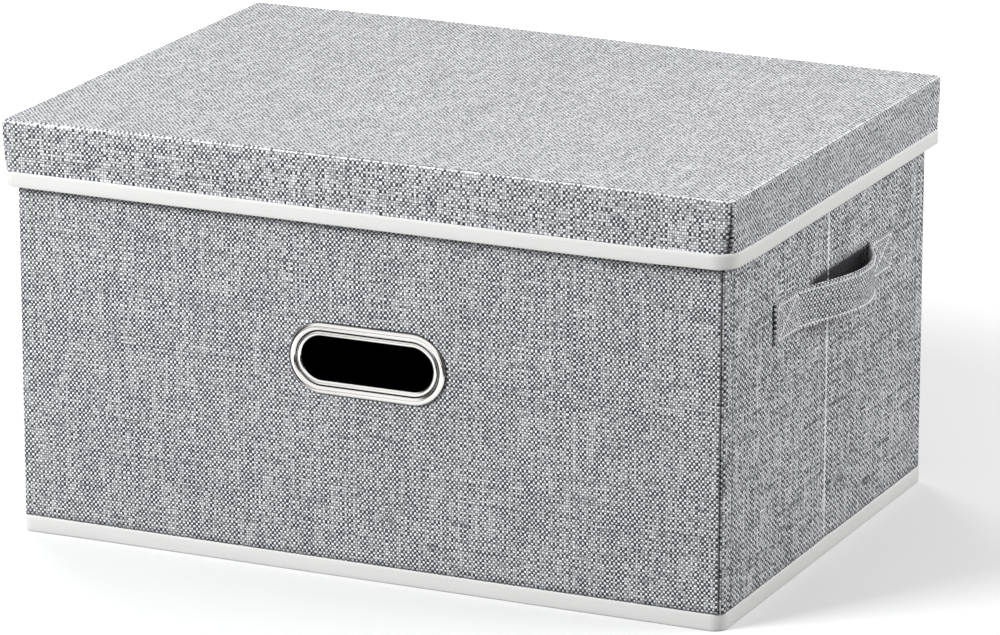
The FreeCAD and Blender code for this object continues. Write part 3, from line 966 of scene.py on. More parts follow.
@dataclass
class WallCovers:
    """Woven covers of the four walls, with a corner strip at each corner where a side folds."""

    places: Places
    finishes: Finishes
    cloth_thickness: float = 0.8 * MM
    front_radii: tuple[float, float] = (1.0 * MM, 4.6 * MM)
    back_radii: tuple[float, float] = (1.6 * MM, 2.0 * MM)
    left_bulge: float = 1.2 * MM
    seam_inset: float = 1.9 * MM
    seam_overlap: float = 0.35 * MM
    seam_depth: float = 1.2 * MM
    seam_width: float = 1.1 * MM
    # Strength of the painted shade along the corner seams.
    seam_shade: float = 0.7
    wave: float = 0.32 * MM
    step: float = 4.0 * MM
    strip_step: float = 0.5 * MM
    blend_x: float = 4.0 * MM
    blend_y: float = 5.0 * MM
    foot_reach: float = 0.25 * MM
    margin: float = 25.0 * MM
    corner_travel: float = 12.0 * MM
    open_travel: float = 5.0 * MM
    side_reach: float = 141.9 * MM
    open_reach: float = 149.2 * MM
    corner_flat: float = 4.0 * MM
    corner_fade: float = 15.0 * MM
    sink: float = 0.3 * MM
    sink_width: float = 2.0 * MM
    crease_bend: float = 4.5 * MM
    crease_dip: float = 0.5 * MM
    crease_width: float = 9.0 * MM
    ridge: float = 0.35 * MM
    ridge_width: float = 0.7 * MM
    # Painted highlight along the crease ridge, and its width.
    ridge_light: float = 1.4
    light_width: float = 0.9 * MM
    bulge_length: float = 70.0 * MM

    def heights(self) -> Array:
        """Rows from the foot binding to the top of the wall."""
        return stops(self.places.wall_foot - self.foot_reach, self.places.wall_top, self.step)

    def walk(self, wall: Wall) -> CornerWalk:
        """The path of a long wall's cover."""
        radii, bulge = (self.front_radii, self.left_bulge) if wall is Wall.FRONT else (self.back_radii, 0.0)
        return CornerWalk(self.places.half_x, self.places.half_y, radii, (bulge, 0.0))

    @property
    def seam(self) -> float:
        """Travel from the middle of a long wall to its corner seam."""
        return self.places.half_x - self.seam_inset

    @property
    def corner_end(self) -> float:
        """Travel from the middle of a long wall to the end of a corner strip, on the side."""
        return self.places.half_x + self.corner_travel

    def near_seams(self, travel: Array, seams: Sequence[float]) -> Array:
        """1 at a seam, falling to 0 over the seam's width on both sides."""
        return np.max([1.0 - smooth_step(np.abs(travel - seam) / self.seam_width) for seam in seams], axis=0)

    def surface_of(self, wall: Wall, travel: Array, seams: Sequence[float], sunk_end: float = 0.0) -> Surface:
        """Cloth along a long wall or one of its corners.

        A point is path(travel) + normal * (wave - roll - sink). The wave fades at the foot and the top, the
        roll is seam depth * nearness to a seam, and the sink puts a strip's far end under its neighbour.

        Args:
            wall: the long wall that the path belongs to.
            travel: signed distances along the path.
            seams: travels at which an edge is turned in.
            sunk_end: travel of an end that lies under the next cloth, or 0.

        Returns:
            The surface, columns along the path and rows upwards.
        """
        height = self.heights()[:, None]
        along, out, turn_along, turn_out = self.walk(wall).at(travel)
        near = self.near_seams(travel, seams)
        room = self.places.half_x - self.corner_flat - np.abs(travel)
        lift = self.wave * ripple(travel, height, 11 + wall.value) * self.fade(height)
        lift = lift * smooth_step(room / self.corner_fade) - self.seam_depth * near
        if sunk_end:
            lift = lift - self.sink * hump(travel - sunk_end, self.sink_width)
        points = wall.place(along + turn_along * lift, out + turn_out * lift, height)
        # Painted shade along each seam, strongest at the turned-in edge.
        shade = np.broadcast_to(-self.seam_shade * near, points.shape[:2])
        return Surface(points, grid(travel, height), pressed=shade)

    def fade(self, height: Array) -> Array:
        """Holds the cloth flat at the foot and the top of a wall, and free between."""
        room = np.minimum(height - self.places.wall_foot, self.places.wall_top - height)
        return smooth_step(room / self.margin)

    def long_wall(self, wall: Wall, low: float, high: float, seams: Sequence[float]) -> Piece:
        """The cover of the front or back wall.

        Args:
            wall: which wall.
            low: travel where it starts.
            high: travel where it ends.
            seams: travels at which an edge is turned in.

        Returns:
            The piece.
        """
        word = wall.word
        bend = np.linspace(self.places.half_x - 5.0 * MM, self.corner_end, 35)
        travel = np.unique(joined(stops(low, high, self.step, True, True), bend, -bend))
        travel = travel[(travel >= low - 1e-9) & (travel <= high + 1e-9)]
        surface = self.surface_of(wall, travel, seams)
        if wall is Wall.FRONT:
            surface.kept = hole_mask(surface.points, self.places)
        piece = add_piece(f"{word}_wall_cover", [surface], self.finishes.cover)
        thicken(piece, self.cloth_thickness)
        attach(piece, f"{word}_wall")
        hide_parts(f"{word}_cover")
        return piece

    def corner_strip(self, side: Side, end: End) -> Piece:
        """The strip of a side's cover that turns a corner to its seam.

        Args:
            side: which side the strip belongs to.
            end: which half of the side.

        Returns:
            The piece.
        """
        word = f"{side.word}_{end.word}"
        hand = -side.value * end.value
        low, high = sorted((hand * (self.seam - self.seam_overlap), hand * self.corner_end))
        travel = stops(low, high, self.strip_step, hand > 0, hand < 0)
        surface = self.surface_of(end.wall, travel, [hand * self.seam], sunk_end=hand * self.corner_end)
        piece = add_piece(f"{word}_corner_cover", [surface], self.finishes.side)
        thicken(piece, self.cloth_thickness)
        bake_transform(piece)
        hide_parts(f"{word}_cover")
        return piece

    def side_cover(self, side: Side) -> Piece:
        """The cover of a folding side, in one piece over its crease.

        A point is wall face + wave - a shallow dip over the crease, which has a raised crease line in its
        middle with a painted highlight along it. Shade is painted on the cloth behind the strap. The left
        side swells towards the front cover, which it meets.

        Args:
            side: which side.

        Returns:
            The piece.
        """
        near = np.array([0.25, 0.5, 0.8, 1.2, 1.8, 2.6, 3.4]) * MM
        far = self.side_reach if side is Side.RIGHT else self.open_reach
        travel = np.unique(joined(stops(-self.side_reach, far, self.step), near, -near, [0.0]))
        height = self.heights()[:, None]
        room = np.minimum(travel + self.side_reach, far - travel)
        rise = self.wave * ripple(travel, height, 31 + side.value) * self.fade(height)
        rise = rise * smooth_step(room / self.margin)
        if side is Side.LEFT:
            rise += self.left_bulge * smooth_step((travel - far + self.bulge_length) / self.bulge_length)
        dip = self.crease_dip * hump(travel, self.crease_width) - self.ridge * hump(travel, self.ridge_width)
        points = side.wall.place(travel, self.places.half_x + rise - dip, height)
        # Painted highlight on the crease, less the painted shade behind the strap.
        line = self.ridge_light * hump(travel, self.light_width) - behind_strap(side, points)
        surface = Surface(points, grid(travel, height), pressed=line)
        word = side.word
        piece = add_piece(f"{word}_side_cover", [surface], self.finishes.side)
        thicken(piece, self.cloth_thickness)
        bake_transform(piece)
        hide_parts(f"{word}_rear_cover", f"{word}_front_cover")
        return piece

    def build(self) -> None:
        """Makes the covers. The left front corner is the open pivot, so the front cover turns it itself."""
        seam, reach = self.seam, self.seam + self.seam_overlap
        open_end = -self.places.half_x - self.left_bulge - self.open_travel
        report(self.long_wall(Wall.FRONT, open_end, reach, [seam]), "cover round the open corner")
        report(self.long_wall(Wall.BACK, -reach, reach, [-seam, seam]), "cover")
        for side, end in ((Side.RIGHT, End.FRONT), (Side.RIGHT, End.REAR), (Side.LEFT, End.REAR)):
            report(self.corner_strip(side, end), "corner strip")
        for side in Side:
            report(self.side_cover(side), "cover over the crease")


def grommet_places() -> tuple[float, ...]:
    """Centre and half sizes of the grommet's outline: x, z, half length, half height."""
    low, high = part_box("grommet_front")
    return (low.x + high.x) / 2.0, (low.z + high.z) / 2.0, (high.x - low.x) / 2.0, (high.z - low.z) / 2.0


def behind_strap(side: Side, points: Array) -> Array:
    """Painted shade on the wall cloth in the hollow behind the strap.

    It is one smooth step in from each edge, multiplied.

    Args:
        side: which side.
        points: the cloth's grid of points.

    Returns:
        A number for each point, 0 away from the strap.
    """
    low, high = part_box(f"{side.word}_handle")
    front, rear, below, above = 50.0 * MM, 33.0 * MM, MM, 1.5 * MM
    along = np.minimum(points[..., 1] - low.y - front, high.y - rear - points[..., 1])
    up = np.minimum(points[..., 2] - low.z + below, high.z + above - points[..., 2])
    soft_along, soft_up = 12.0 * MM, 3.0 * MM
    return smooth_step(along / soft_along) * smooth_step(up / soft_up)


def hole_mask(points: Array, places: Places) -> Array:
    """Which quads of a front layer stay: those whose middle is outside the slot under the grommet's band.

    The distance of a point from the slot's outline is hypot(max(|x| - straight, 0), z) - radius.

    Args:
        points: the layer's grid of points.
        places: where the walls are.

    Returns:
        True for each quad that stays.
    """
    x, z, half_length, half_height = grommet_places()
    middle = (points[:-1, :-1] + points[1:, 1:]) / 2.0
    straight = half_length - half_height
    beyond = np.maximum(np.abs(middle[..., 0] - x) - straight, 0.0)
    under_band, corner = 5.0 * MM, 20.0 * MM
    outside = np.hypot(beyond, middle[..., 2] - z) - (half_height - under_band) > 0.0
    return outside | (middle[..., 1] > 0.0) | (np.abs(middle[..., 0]) > places.half_x - corner)


@dataclass
class WallLinings:
    """Lining cloth on the inner face of each wall panel."""

    places: Places
    finishes: Finishes
    thickness: float = 0.6 * MM
    wave: float = 0.15 * MM
    step: float = 4.0 * MM
    margin: float = 20.0 * MM

    def panel(self, word: str, wall: Wall, body: str) -> Piece:
        """One panel of lining: wall face + wave, facing the inside.

        Args:
            word: the panel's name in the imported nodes.
            wall: the wall that it lines.
            body: the body that it rides on.

        Returns:
            The piece.
        """
        low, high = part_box(f"{word}_lining")
        long_wall = wall in (Wall.FRONT, Wall.BACK)
        spans = (low.x, high.x) if long_wall else (low.y, high.y)
        turned = wall in (Wall.BACK, Wall.LEFT)
        start, end = (-spans[1], -spans[0]) if turned else spans
        depth = min(abs(low.y), abs(high.y)) if long_wall else min(abs(low.x), abs(high.x))
        travel = stops(start, end, self.step)[::-1]
        height = stops(low.z, high.z, self.step)[:, None]
        room = np.minimum(travel - start, end - travel)
        out = depth + self.wave * (1.0 + ripple(travel, height, len(word))) * smooth_step(room / self.margin)
        points = wall.place(travel, out, height)
        surface = Surface(points, grid(travel, height))
        if wall is Wall.FRONT:
            surface.kept = hole_mask(points, self.places)
        piece = add_piece(f"{word}_wall_lining", [surface], self.finishes.lining)
        thicken(piece, self.thickness)
        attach(piece, body)
        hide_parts(f"{word}_lining")
        return piece

    def build(self) -> None:
        """Makes the six panels."""
        for word, wall, body in wall_panels():
            report(self.panel(word, wall, body), "lining")


@dataclass
class TapeSection:
    """Section of a tape folded over an edge, as offsets outwards and heights, with rounded outer turns."""

    outer: float
    inner: float
    foot: float
    top: float
    thickness: float
    opens_up: bool

    def points(self) -> Array:
        """Closed outline of the fold: down one leg, round the turn, up the other and back inside.

        Returns:
            Pairs of offset and height.
        """
        r = min(self.thickness, 0.45 * (self.outer - self.inner))
        arc = np.linspace(0.0, QUARTER, 5)
        outer_turn = grid(self.outer - r + r * np.cos(arc), self.foot + r - r * np.sin(arc))
        inner_turn = grid(self.inner + r - r * np.sin(arc), self.foot + r - r * np.cos(arc))
        span = self.top - self.foot
        leg = np.linspace(self.top, self.foot + r, 6)[:-1]
        belly = 0.22 * self.thickness * np.sin(math.pi * (self.top - leg) / span)
        lip = 0.35 * self.thickness
        outer_leg = grid(self.outer + belly, leg)
        inner_leg = grid(self.inner - belly, leg)[::-1]
        inside = np.array([
            (self.inner + self.thickness, self.top),
            (self.inner + self.thickness, self.foot + self.thickness),
            (self.outer - self.thickness, self.foot + self.thickness),
            (self.outer - self.thickness, self.top),
        ])
        outer_end = np.array([(self.outer - 0.5 * self.thickness, self.top + lip)])
        inner_end = np.array([(self.inner + 0.5 * self.thickness, self.top + lip)])
        outline = joined(outer_end, outer_leg, outer_turn, inner_turn, inner_leg, inner_end, inside)
        if not self.opens_up:
            outline[:, 1] = self.foot + self.top - outline[:, 1]
        return outline


@dataclass
class RimBindings:
    """White tape folded over the rim of each wall panel."""

    places: Places
    finishes: Finishes
    thickness: float = 0.8 * MM
    radii: tuple[float, float] = (2.0 * MM, 2.0 * MM)
    front_radii: tuple[float, float] = (1.4 * MM, 5.0 * MM)
    step: float = 12.0 * MM
    bend: tuple[float, float] = (5.5 * MM, 3.0 * MM)

    def section(self, word: str, across_y: bool) -> tuple[Array, float]:
        """The tape's section, and the distance out to its wall's outer face.

        Args:
            word: the panel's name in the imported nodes.
            across_y: whether the wall faces along Y.

        Returns:
            The outline and the distance.
        """
        low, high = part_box(f"{word}_rim_binding")
        near, far = sorted((abs(low.y), abs(high.y)) if across_y else (abs(low.x), abs(high.x)))
        face = far - self.thickness
        fold = TapeSection(far - face, near - face, low.z, high.z, self.thickness, opens_up=False)
        outline = fold.points()
        outline[:, 1] = np.maximum(outline[:, 1], low.z)
        return outline, face

    def length(self, word: str, wall: Wall, body: str) -> Piece:
        """One length of tape: path(travel) + normal * offset, at the section's height.

        The tapes of the front and back wall turn the corners, and the others run straight.

        Args:
            word: the panel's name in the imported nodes.
            wall: the wall that it is on.
            body: the body that it rides on.

        Returns:
            The piece.
        """
        low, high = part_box(f"{word}_rim_binding")
        long_wall = wall in (Wall.FRONT, Wall.BACK)
        outline, face = self.section(word, long_wall)
        if long_wall:
            half = self.places.half_x
            walk = CornerWalk(half, face, self.front_radii if wall is Wall.FRONT else self.radii)
            bend = np.linspace(half - self.bend[0], half + self.bend[1], 20)
            travel = np.unique(joined(stops(-bend[0], bend[0], self.step), bend, -bend))
        else:
            beyond = 9.0 * MM
            walk = CornerWalk(self.places.half_y + beyond, face, self.radii)
            spans = (low.y, high.y) if wall is Wall.RIGHT else (-high.y, -low.y)
            travel = stops(*spans, self.step)
        along, out, turn_along, turn_out = walk.at(travel[:, None])
        offset = outline[:, 0]
        points = wall.place(along + turn_along * offset, out + turn_out * offset, outline[:, 1])
        reach = travelled(outline)
        reach = np.append(reach, reach[-1] + self.thickness)
        surface = Surface(points, grid(travel[:, None], reach), ring=True, start_cap=True, end_cap=True)
        piece = add_piece(f"{word}_rim_tape", [surface], self.finishes.binding, closed=True)
        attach(piece, body)
        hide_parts(f"{word}_rim_binding")
        return piece

    def build(self) -> None:
        """Makes the six lengths of tape."""
        for word, wall, body in wall_panels():
            report(self.length(word, wall, body), "rim tape")


def ring_sweep(
    path: RingPath, half_x: float, half_y: float, radii: Sequence[float], outline: Array, sway: Callable
) -> Surface:
    """Carries a closed section round a rounded rectangle: the ring moved out by each offset, at each height.

    Args:
        path: how many points the ring has.
        half_x: half length at offset 0.
        half_y: half depth at offset 0.
        radii: the four corner radii at offset 0.
        outline: pairs of offset and height.
        sway: gives an extra offset and height for each distance along the ring.

    Returns:
        The surface, rows round the section and columns round the ring, closed both ways.
    """
    offset = outline[:, 0]
    sharpest = 0.3 * MM
    turns = np.maximum(np.asarray(radii) + offset[:, None], sharpest)
    rings = path.plan(half_x + offset, half_y + offset, turns)
    _, normals, _ = path.walk()
    distance = path.distances(half_x, half_y, radii)
    extra_out, extra_up = sway(distance[:-1])
    points = raised(rings + normals * extra_out[:, None], outline[:, 1:] + extra_up)
    reach = travelled(outline)
    reach = np.append(reach, reach[-1] + MM)
    return Surface(points, grid(distance, reach[:, None]), ring=True, loop=True)


@dataclass
class Foot:
    """The bound foot of the walls and the cloth that closes the bottom."""

    places: Places
    finishes: Finishes
    folded_share: float = 0.155
    edge_round: float = 0.7 * MM
    cloth_thickness: float = 0.8 * MM
    radii: tuple[float, ...] = (8.0 * MM, 3.5 * MM, 4.0 * MM, 3.0 * MM)
    belly: float = 0.18 * MM
    waver: float = 0.12 * MM
    corner_swell: float = 0.7 * MM
    step: float = 8.0 * MM
    sag: float = 0.1 * MM
    margin: float = 30.0 * MM

    def fold_away(self, piece: Piece) -> None:
        """Gives a piece its own copy of its mesh."""
        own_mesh(piece)

    def binding(self) -> Piece:
        """The tape round the foot: a section with rounded edges and a slight belly, carried round a ring.

        Returns:
            The piece.
        """
        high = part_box("foot_binding")[1]
        top, r = high.z, self.edge_round
        width = high.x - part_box("floor_cloth")[1].x
        arc = np.linspace(0.0, QUARTER, 5)
        heights = np.linspace(r, top - r, 9)[1:-1]
        belly = self.belly * np.sin(math.pi * heights / top)
        outline = joined(
            grid(-r + r * np.sin(arc), r - r * np.cos(arc)),
            grid(belly, heights),
            grid(-r + r * np.cos(arc), top - r + r * np.sin(arc)),
            grid(-width + r - r * np.sin(arc), top - r + r * np.cos(arc)),
            grid(-width + r - r * np.cos(arc), r - r * np.sin(arc)),
        )

        def sway(distance: Array) -> tuple[Array, Array]:
            """Small unevenness of the sewn tape along the foot, and a swelling at the left front corner."""
            out = self.waver * ripple(distance, 0.0, 51, 0.08) + self.corner_swell * path.around(3, 0.12)
            return out, 0.0 * distance

        path = RingPath()
        surface = ring_sweep(path, high.x, high.y, self.radii, outline, sway)
        piece = add_piece("foot_tape", [surface], self.finishes.binding, closed=True)
        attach(piece, "back_wall")
        self.fold_away(piece)
        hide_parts("foot_binding")
        return piece

    def cloth(self) -> Piece:
        """The floor cloth: a flat sheet with faint waves that fade at its sewn edge.

        Returns:
            The piece.
        """
        low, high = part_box("floor_cloth")
        across = stops(low.x, high.x, self.step)
        deep = stops(low.y, high.y, self.step)[:, None]
        room_x = np.minimum(across - low.x, high.x - across)
        room = np.minimum(room_x, np.minimum(deep - low.y, high.y - deep))
        sag = self.sag * (1.0 + ripple(across, deep, 61)) * smooth_step(room / self.margin)
        points = grid(across, deep, high.z - sag)
        piece = add_piece("floor_lining", [Surface(points, points[..., :2])], self.finishes.lining)
        thicken(piece, self.cloth_thickness)
        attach(piece, "back_wall")
        self.fold_away(piece)
        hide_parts("floor_cloth")
        return piece

    def build(self) -> None:
        """Makes both pieces."""
        report(self.binding(), "foot tape")
        report(self.cloth(), "floor cloth")


@dataclass
class Grommet:
    """The front ring of the chromed oval grommet."""

    finishes: Finishes
    band: float = 5.2 * MM
    lip: float = 3.1 * MM
    band_rise: float = 2.6 * MM
    lip_rise: float = 1.7 * MM
    groove: float = 0.7 * MM
    groove_width: float = 0.46 * MM
    edge_width: float = 0.42 * MM
    round_points: int = 40

    def slot_ring(self, offset: Array, out: Array) -> Array:
        """Carries a section round the slot: outline moved in by each offset, at each distance out.

        The slot is a straight core widened by a radius: a point is core(angle) + (radius - offset) * normal.

        Args:
            offset: distances in from the outline.
            out: distances out of the box.

        Returns:
            Points, section by path by three.
        """
        x, z, half_length, half_height = grommet_places()
        straight = half_length - half_height
        turn = np.linspace(-QUARTER, QUARTER, self.round_points)
        edge = np.linspace(-1.0, 1.0, 26)[1:-1]
        core = joined(np.full(len(turn), 1.0), -edge, np.full(len(turn), -1.0), edge) * straight
        level, flat = np.zeros(len(edge)), np.ones(len(edge))
        normal_x = joined(np.cos(turn), level, -np.cos(turn), level)
        normal_z = joined(np.sin(turn), flat, -np.sin(turn), -flat)
        reach = (half_height - offset)[:, None]
        return Wall.FRONT.place(x + core + normal_x * reach, out[:, None], z + normal_z * reach)

    def front(self) -> Piece:
        """The front ring: a domed outer band, a groove, a lower domed lip, the barrel and its rolled end.

        Across a dome the offset is width * (1 - cos u) / 2 and the height rise * sin u, for u from 0 to pi.

        Returns:
            The piece.
        """
        cover = -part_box("front_cover")[0].y
        back = -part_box("grommet_front")[1].y
        turn = np.linspace(0.0, math.pi, 27)
        t = (1.0 - np.cos(turn)) / 2.0
        band = self.band_rise * np.sin(turn)
        band_height = np.where(t < 0.5, band, np.maximum(band, self.groove))
        turn = np.linspace(0.0, math.pi, 19)[1:]
        s = (1.0 - np.cos(turn)) / 2.0
        low = self.groove + (self.lip_rise - self.groove) * np.sin(turn)
        lip_height = np.where(s < 0.5, low, self.lip_rise * np.sin(turn))
        bore = self.band + self.lip
        depth = cover - back
        roll = np.linspace(0.0, math.pi, 9)
        roll_reach, roll_depth, inner = 1.3 * MM, 0.45 * MM, bore - 0.8 * MM
        rolled_in = bore - roll_reach + roll_reach * np.cos(roll)
        rolled_out = -depth + roll_depth - roll_depth * np.sin(roll)
        offset = joined(t * self.band, self.band + s * self.lip, [bore, bore], rolled_in, [inner, inner])
        barrel, inside = [-0.3 * depth, -0.7 * depth], [-0.5 * depth, -0.02 * MM]
        out = cover + joined(band_height, lip_height, barrel, rolled_out, inside)
        points = self.slot_ring(offset, out)
        cloth = np.zeros((points.shape[0] + 1, points.shape[1] + 1, 2))
        # Painted shade: the chrome turns dark in the groove between band and lip and along the outer edge.
        near_gap = np.maximum(hump(offset - self.band, self.groove_width), hump(offset, self.edge_width))
        in_gap = near_gap * (out > cover - 0.1 * MM)
        shade = np.broadcast_to(-in_gap[:, None], points.shape[:2])
        surface = Surface(points, cloth, ring=True, loop=True, pressed=shade)
        piece = add_piece("grommet_ring", [surface], self.finishes.chrome, closed=True)
        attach(piece, "front_wall")
        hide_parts("grommet_front")
        return piece

    def build(self) -> None:
        """Makes the front ring."""
        report(self.front(), "chromed ring")


@dataclass
class StrapHandle:
    """A strap sewn to both halves of a side, in two halves that meet over the crease."""

    side: Side
    places: Places
    finishes: Finishes
    patch: float = 34.0 * MM
    bow: float = 17.0 * MM
    strap_thickness: float = 2.0 * MM
    stitch_inset: float = 2.4 * MM
    stitch_length: float = 3.1 * MM
    stitch_pitch: float = 3.4 * MM
    thread_radius: float = 0.6 * MM
    edge_dent: float = 0.28 * MM
    dent_width: float = 0.8 * MM
    waver: float = 0.12 * MM
    face_from: float = 0.5 * MM
    wall_gap: float = 0.02 * MM
    crease_gap: float = 0.6 * MM
    thread_sink: float = 0.16 * MM
    thread_arch: float = 0.30 * MM
    rim_shade: float = 0.9
    shade_reach: float = 1.1 * MM
    flattened: float = 0.05
    step: float = 1.6 * MM

    def spans(self) -> tuple[float, ...]:
        """The strap's ends along Y, and its lower and upper edge."""
        low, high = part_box(f"{self.side.word}_handle")
        return low.y, high.y, low.z, high.z

    def rise(self, y: Array) -> Array:
        """How far the strap's inner face stands off the wall.

        It is bow * sin(pi t^1.15)^1.05, where t goes from 0 at the front patch to 1 at the rear patch.

        Args:
            y: places along Y.

        Returns:
            The distances.
        """
        low, high, _, _ = self.spans()
        t = np.clip((y - low - self.patch) / (high - low - 2.0 * self.patch), 0.0, 1.0)
        return self.bow * np.maximum(np.sin(math.pi * t**1.15), 0.0) ** 1.05

    def frame_at(self, y: Array) -> tuple[Array, Array, Array]:
        """Middle line of the strap and its outward direction.

        Args:
            y: places along Y.

        Returns:
            Distance out of the middle line, and the two parts of the direction, along Y and out.
        """
        small = 0.2 * MM
        slope = (self.rise(y + small) - self.rise(y - small)) / (2.0 * small)
        length = np.sqrt(1.0 + slope**2)
        middle = self.places.half_x + self.rise(y) + self.strap_thickness / 2.0
        return middle, -slope / length, 1.0 / length

    def thickness_at(self, across: Array, width: float) -> Array:
        """Half thickness across the strap: round edges, drawn in along the two rows of edge stitching.

        Args:
            across: distances from the strap's middle line.
            width: the strap's width.

        Returns:
            The half thicknesses.
        """
        half = self.strap_thickness / 2.0
        edge = np.clip((width / 2.0 - np.abs(across)) / half, 0.0, 1.0)
        body = half * np.sqrt(1.0 - (1.0 - edge) ** 2)
        seam = width / 2.0 - self.stitch_inset
        return body - self.edge_dent * hump(np.abs(across) - seam, self.dent_width)

    def strap_half(self, end: End) -> Piece:
        """One half of the strap: its section carried along the middle line.

        Args:
            end: which half.

        Returns:
            The piece.
        """
        low, high, foot, top = self.spans()
        width, middle_height = top - foot, (top + foot) / 2.0
        start, stop = (low, 0.0) if end is End.FRONT else (0.0, high)
        y = stops(start, stop, self.step, end is End.FRONT, end is End.REAR)[:, None]
        across = width / 2.0 * np.sin(np.linspace(-QUARTER, QUARTER, 25))
        half = self.thickness_at(across, width)
        ring_across = joined(across, across[::-1][1:-1])
        ring_half = joined(half, -half[::-1][1:-1])
        middle, turn_along, turn_out = self.frame_at(y)
        gather = self.end_round(y, low, high)
        wobble = self.waver * ripple(y, ring_across, 71 + self.side.value, 0.012)
        wobble = np.where(np.abs(ring_half) > self.face_from, wobble, 0.0)
        offset = ring_half * gather + np.sign(ring_half) * wobble
        stand = np.maximum(middle + turn_out * offset, self.places.half_x + self.wall_gap)
        points = grid(
            self.side.value * stand,
            y + turn_along * offset,
            middle_height + ring_across * (0.985 + 0.015 * gather),
        )
        path = travelled(np.concatenate([y, middle], axis=1)) + start
        cloth = grid(path[:, None], np.append(ring_across, ring_across[0]))
        # Painted shade on the strap's rim where it comes close to the wall.
        above_wall = stand - self.places.half_x
        shade = -self.rim_shade * (1.0 - smooth_step(above_wall / self.shade_reach))
        surface = Surface(points, cloth, ring=True, start_cap=True, end_cap=True, pressed=shade)
        piece = add_piece(f"{self.side.word}_strap_{end.word}", [surface], self.finishes.cover, closed=True)
        self.dress(piece, end, "cover_fabric", f"{self.side.word}_handle")
        return piece

    def end_round(self, y: Array, low: float, high: float) -> Array:
        """Share of the thickness near the strap's cut ends, which are folded under and rounded."""
        room = np.clip(np.minimum(y - low, high - y) / MM, 0.0, 1.0)
        return np.sqrt(1.0 - (1.0 - room) ** 2) * 0.9 + 0.1

    def dress(self, piece: Piece, end: End, slot: str, *nodes: str) -> None:
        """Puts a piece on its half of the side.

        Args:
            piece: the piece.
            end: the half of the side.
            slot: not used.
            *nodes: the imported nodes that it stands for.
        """
        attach(piece, f"{self.side.word}_{end.word}_panel")
        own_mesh(piece)
        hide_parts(*nodes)

    def stitch_line(self, start: tuple[float, float], end: tuple[float, float]) -> list[Array]:
        """Middles and directions of the stitches between two places on the strap's face.

        Args:
            start: Y and height across the strap of the first end.
            end: Y and height across the strap of the last end.

        Returns:
            One array of pairs for each stitch: its two ends.
        """
        first, last = np.array(start), np.array(end)
        length = float(np.hypot(*(last - first)))
        count = max(1, int(length / self.stitch_pitch))
        heading = (last - first) / length
        pitch = length / count
        middles = first + heading * pitch * (np.arange(count)[:, None] + 0.5)
        half = heading * self.stitch_length / 2.0
        return list(np.stack([middles - half, middles + half], axis=1))

    def stitches(self, ends: Array) -> Array:
        """Threads as slim capsules that dive into the cloth at both ends.

        A point is line(t) + radius * sin(pi (0.08 + 0.84 t))^0.4 * ring, and the line sinks at its ends.

        Args:
            ends: stitches by two by two: Y and height of each stitch's ends.

        Returns:
            Points, stitches by steps along by steps round by three.
        """
        t = np.linspace(0.0, 1.0, 7)[:, None]
        round_it = np.linspace(0.0, math.tau, 7)[:-1]
        (y0, z0), (y1, z1) = np.moveaxis(ends, 0, -1)[..., None, None]
        y, z = y0 * (1.0 - t) + y1 * t, z0 * (1.0 - t) + z1 * t
        length = np.hypot(y1 - y0, z1 - z0)
        side_y, side_z = (z0 - z1) / length, (y1 - y0) / length
        middle, turn_along, turn_out = self.frame_at(y)
        radius = self.thread_radius * np.sin(math.pi * (0.08 + 0.84 * t)) ** 0.4
        lift = self.strap_thickness / 2.0 - self.thread_sink + self.thread_arch * np.sin(math.pi * t)
        ring_out = lift + radius * np.cos(round_it)
        ring_side = radius * np.sin(round_it)
        return grid(
            self.side.value * (middle + turn_out * ring_out),
            y + turn_along * ring_out + side_y * ring_side,
            z + side_z * ring_side,
        )

    def thread(self, name: str, lines: Sequence[Array], end: End, *nodes: str) -> Piece:
        """Makes one piece from many stitches.

        Args:
            name: the piece's name.
            lines: the two ends of each stitch.
            end: the half of the side that they are on.
            *nodes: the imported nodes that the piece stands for.

        Returns:
            The piece.
        """
        points = self.stitches(np.array(lines))
        cloth = np.zeros((points.shape[1], points.shape[2] + 1, 2))
        surfaces = [Surface(stitch, cloth, ring=True, start_cap=True, end_cap=True) for stitch in points]
        piece = add_piece(name, surfaces, self.finishes.thread, closed=True)
        self.dress(piece, end, "thread", *nodes)
        return piece

    def edge_rows(self, end: End) -> list[Array]:
        """The two rows of stitching along the strap's edges, between the patch and the crease.

        Args:
            end: the half of the side.

        Returns:
            The two ends of each stitch.
        """
        low, high, foot, top = self.spans()
        inner = low + self.patch if end is End.FRONT else high - self.patch
        start, stop = (inner, -self.crease_gap) if end is End.FRONT else (self.crease_gap, inner)
        rows = (foot + self.stitch_inset, top - self.stitch_inset)
        return [stitch for row in rows for stitch in self.stitch_line((start, row), (stop, row))]

    def box_rows(self, end: End) -> list[Array]:
        """Box stitching on a patch: four sides and two diagonals.

        Args:
            end: the half of the side.

        Returns:
            The two ends of each stitch.
        """
        low, high, foot, top = self.spans()
        if end is End.FRONT:
            near, far = low + self.stitch_inset, low + self.patch - self.stitch_inset
        else:
            near, far = high - self.patch + self.stitch_inset, high - self.stitch_inset
        down, up = foot + self.stitch_inset, top - self.stitch_inset
        corners = [(near, down), (far, down), (far, up), (near, up)]
        lines = [(corners[i], corners[(i + 1) % 4]) for i in range(4)]
        lines += [(corners[0], corners[2]), (corners[1], corners[3])]
        return [stitch for start, stop in lines for stitch in self.stitch_line(start, stop)]

    def build(self) -> None:
        """Makes both halves of the strap with their stitching."""
        handle = f"{self.side.word}_handle"
        for end in End:
            word = f"{self.side.word}_{end.word}"
            report(self.strap_half(end), "half strap")
            box_node = f"{handle}_{end.word}_stitching"
            report(self.thread(f"{word}_box_stitches", self.box_rows(end), end, box_node), "box stitching")
            report(self.thread(f"{word}_edge_stitches", self.edge_rows(end), end, handle), "edge stitching")


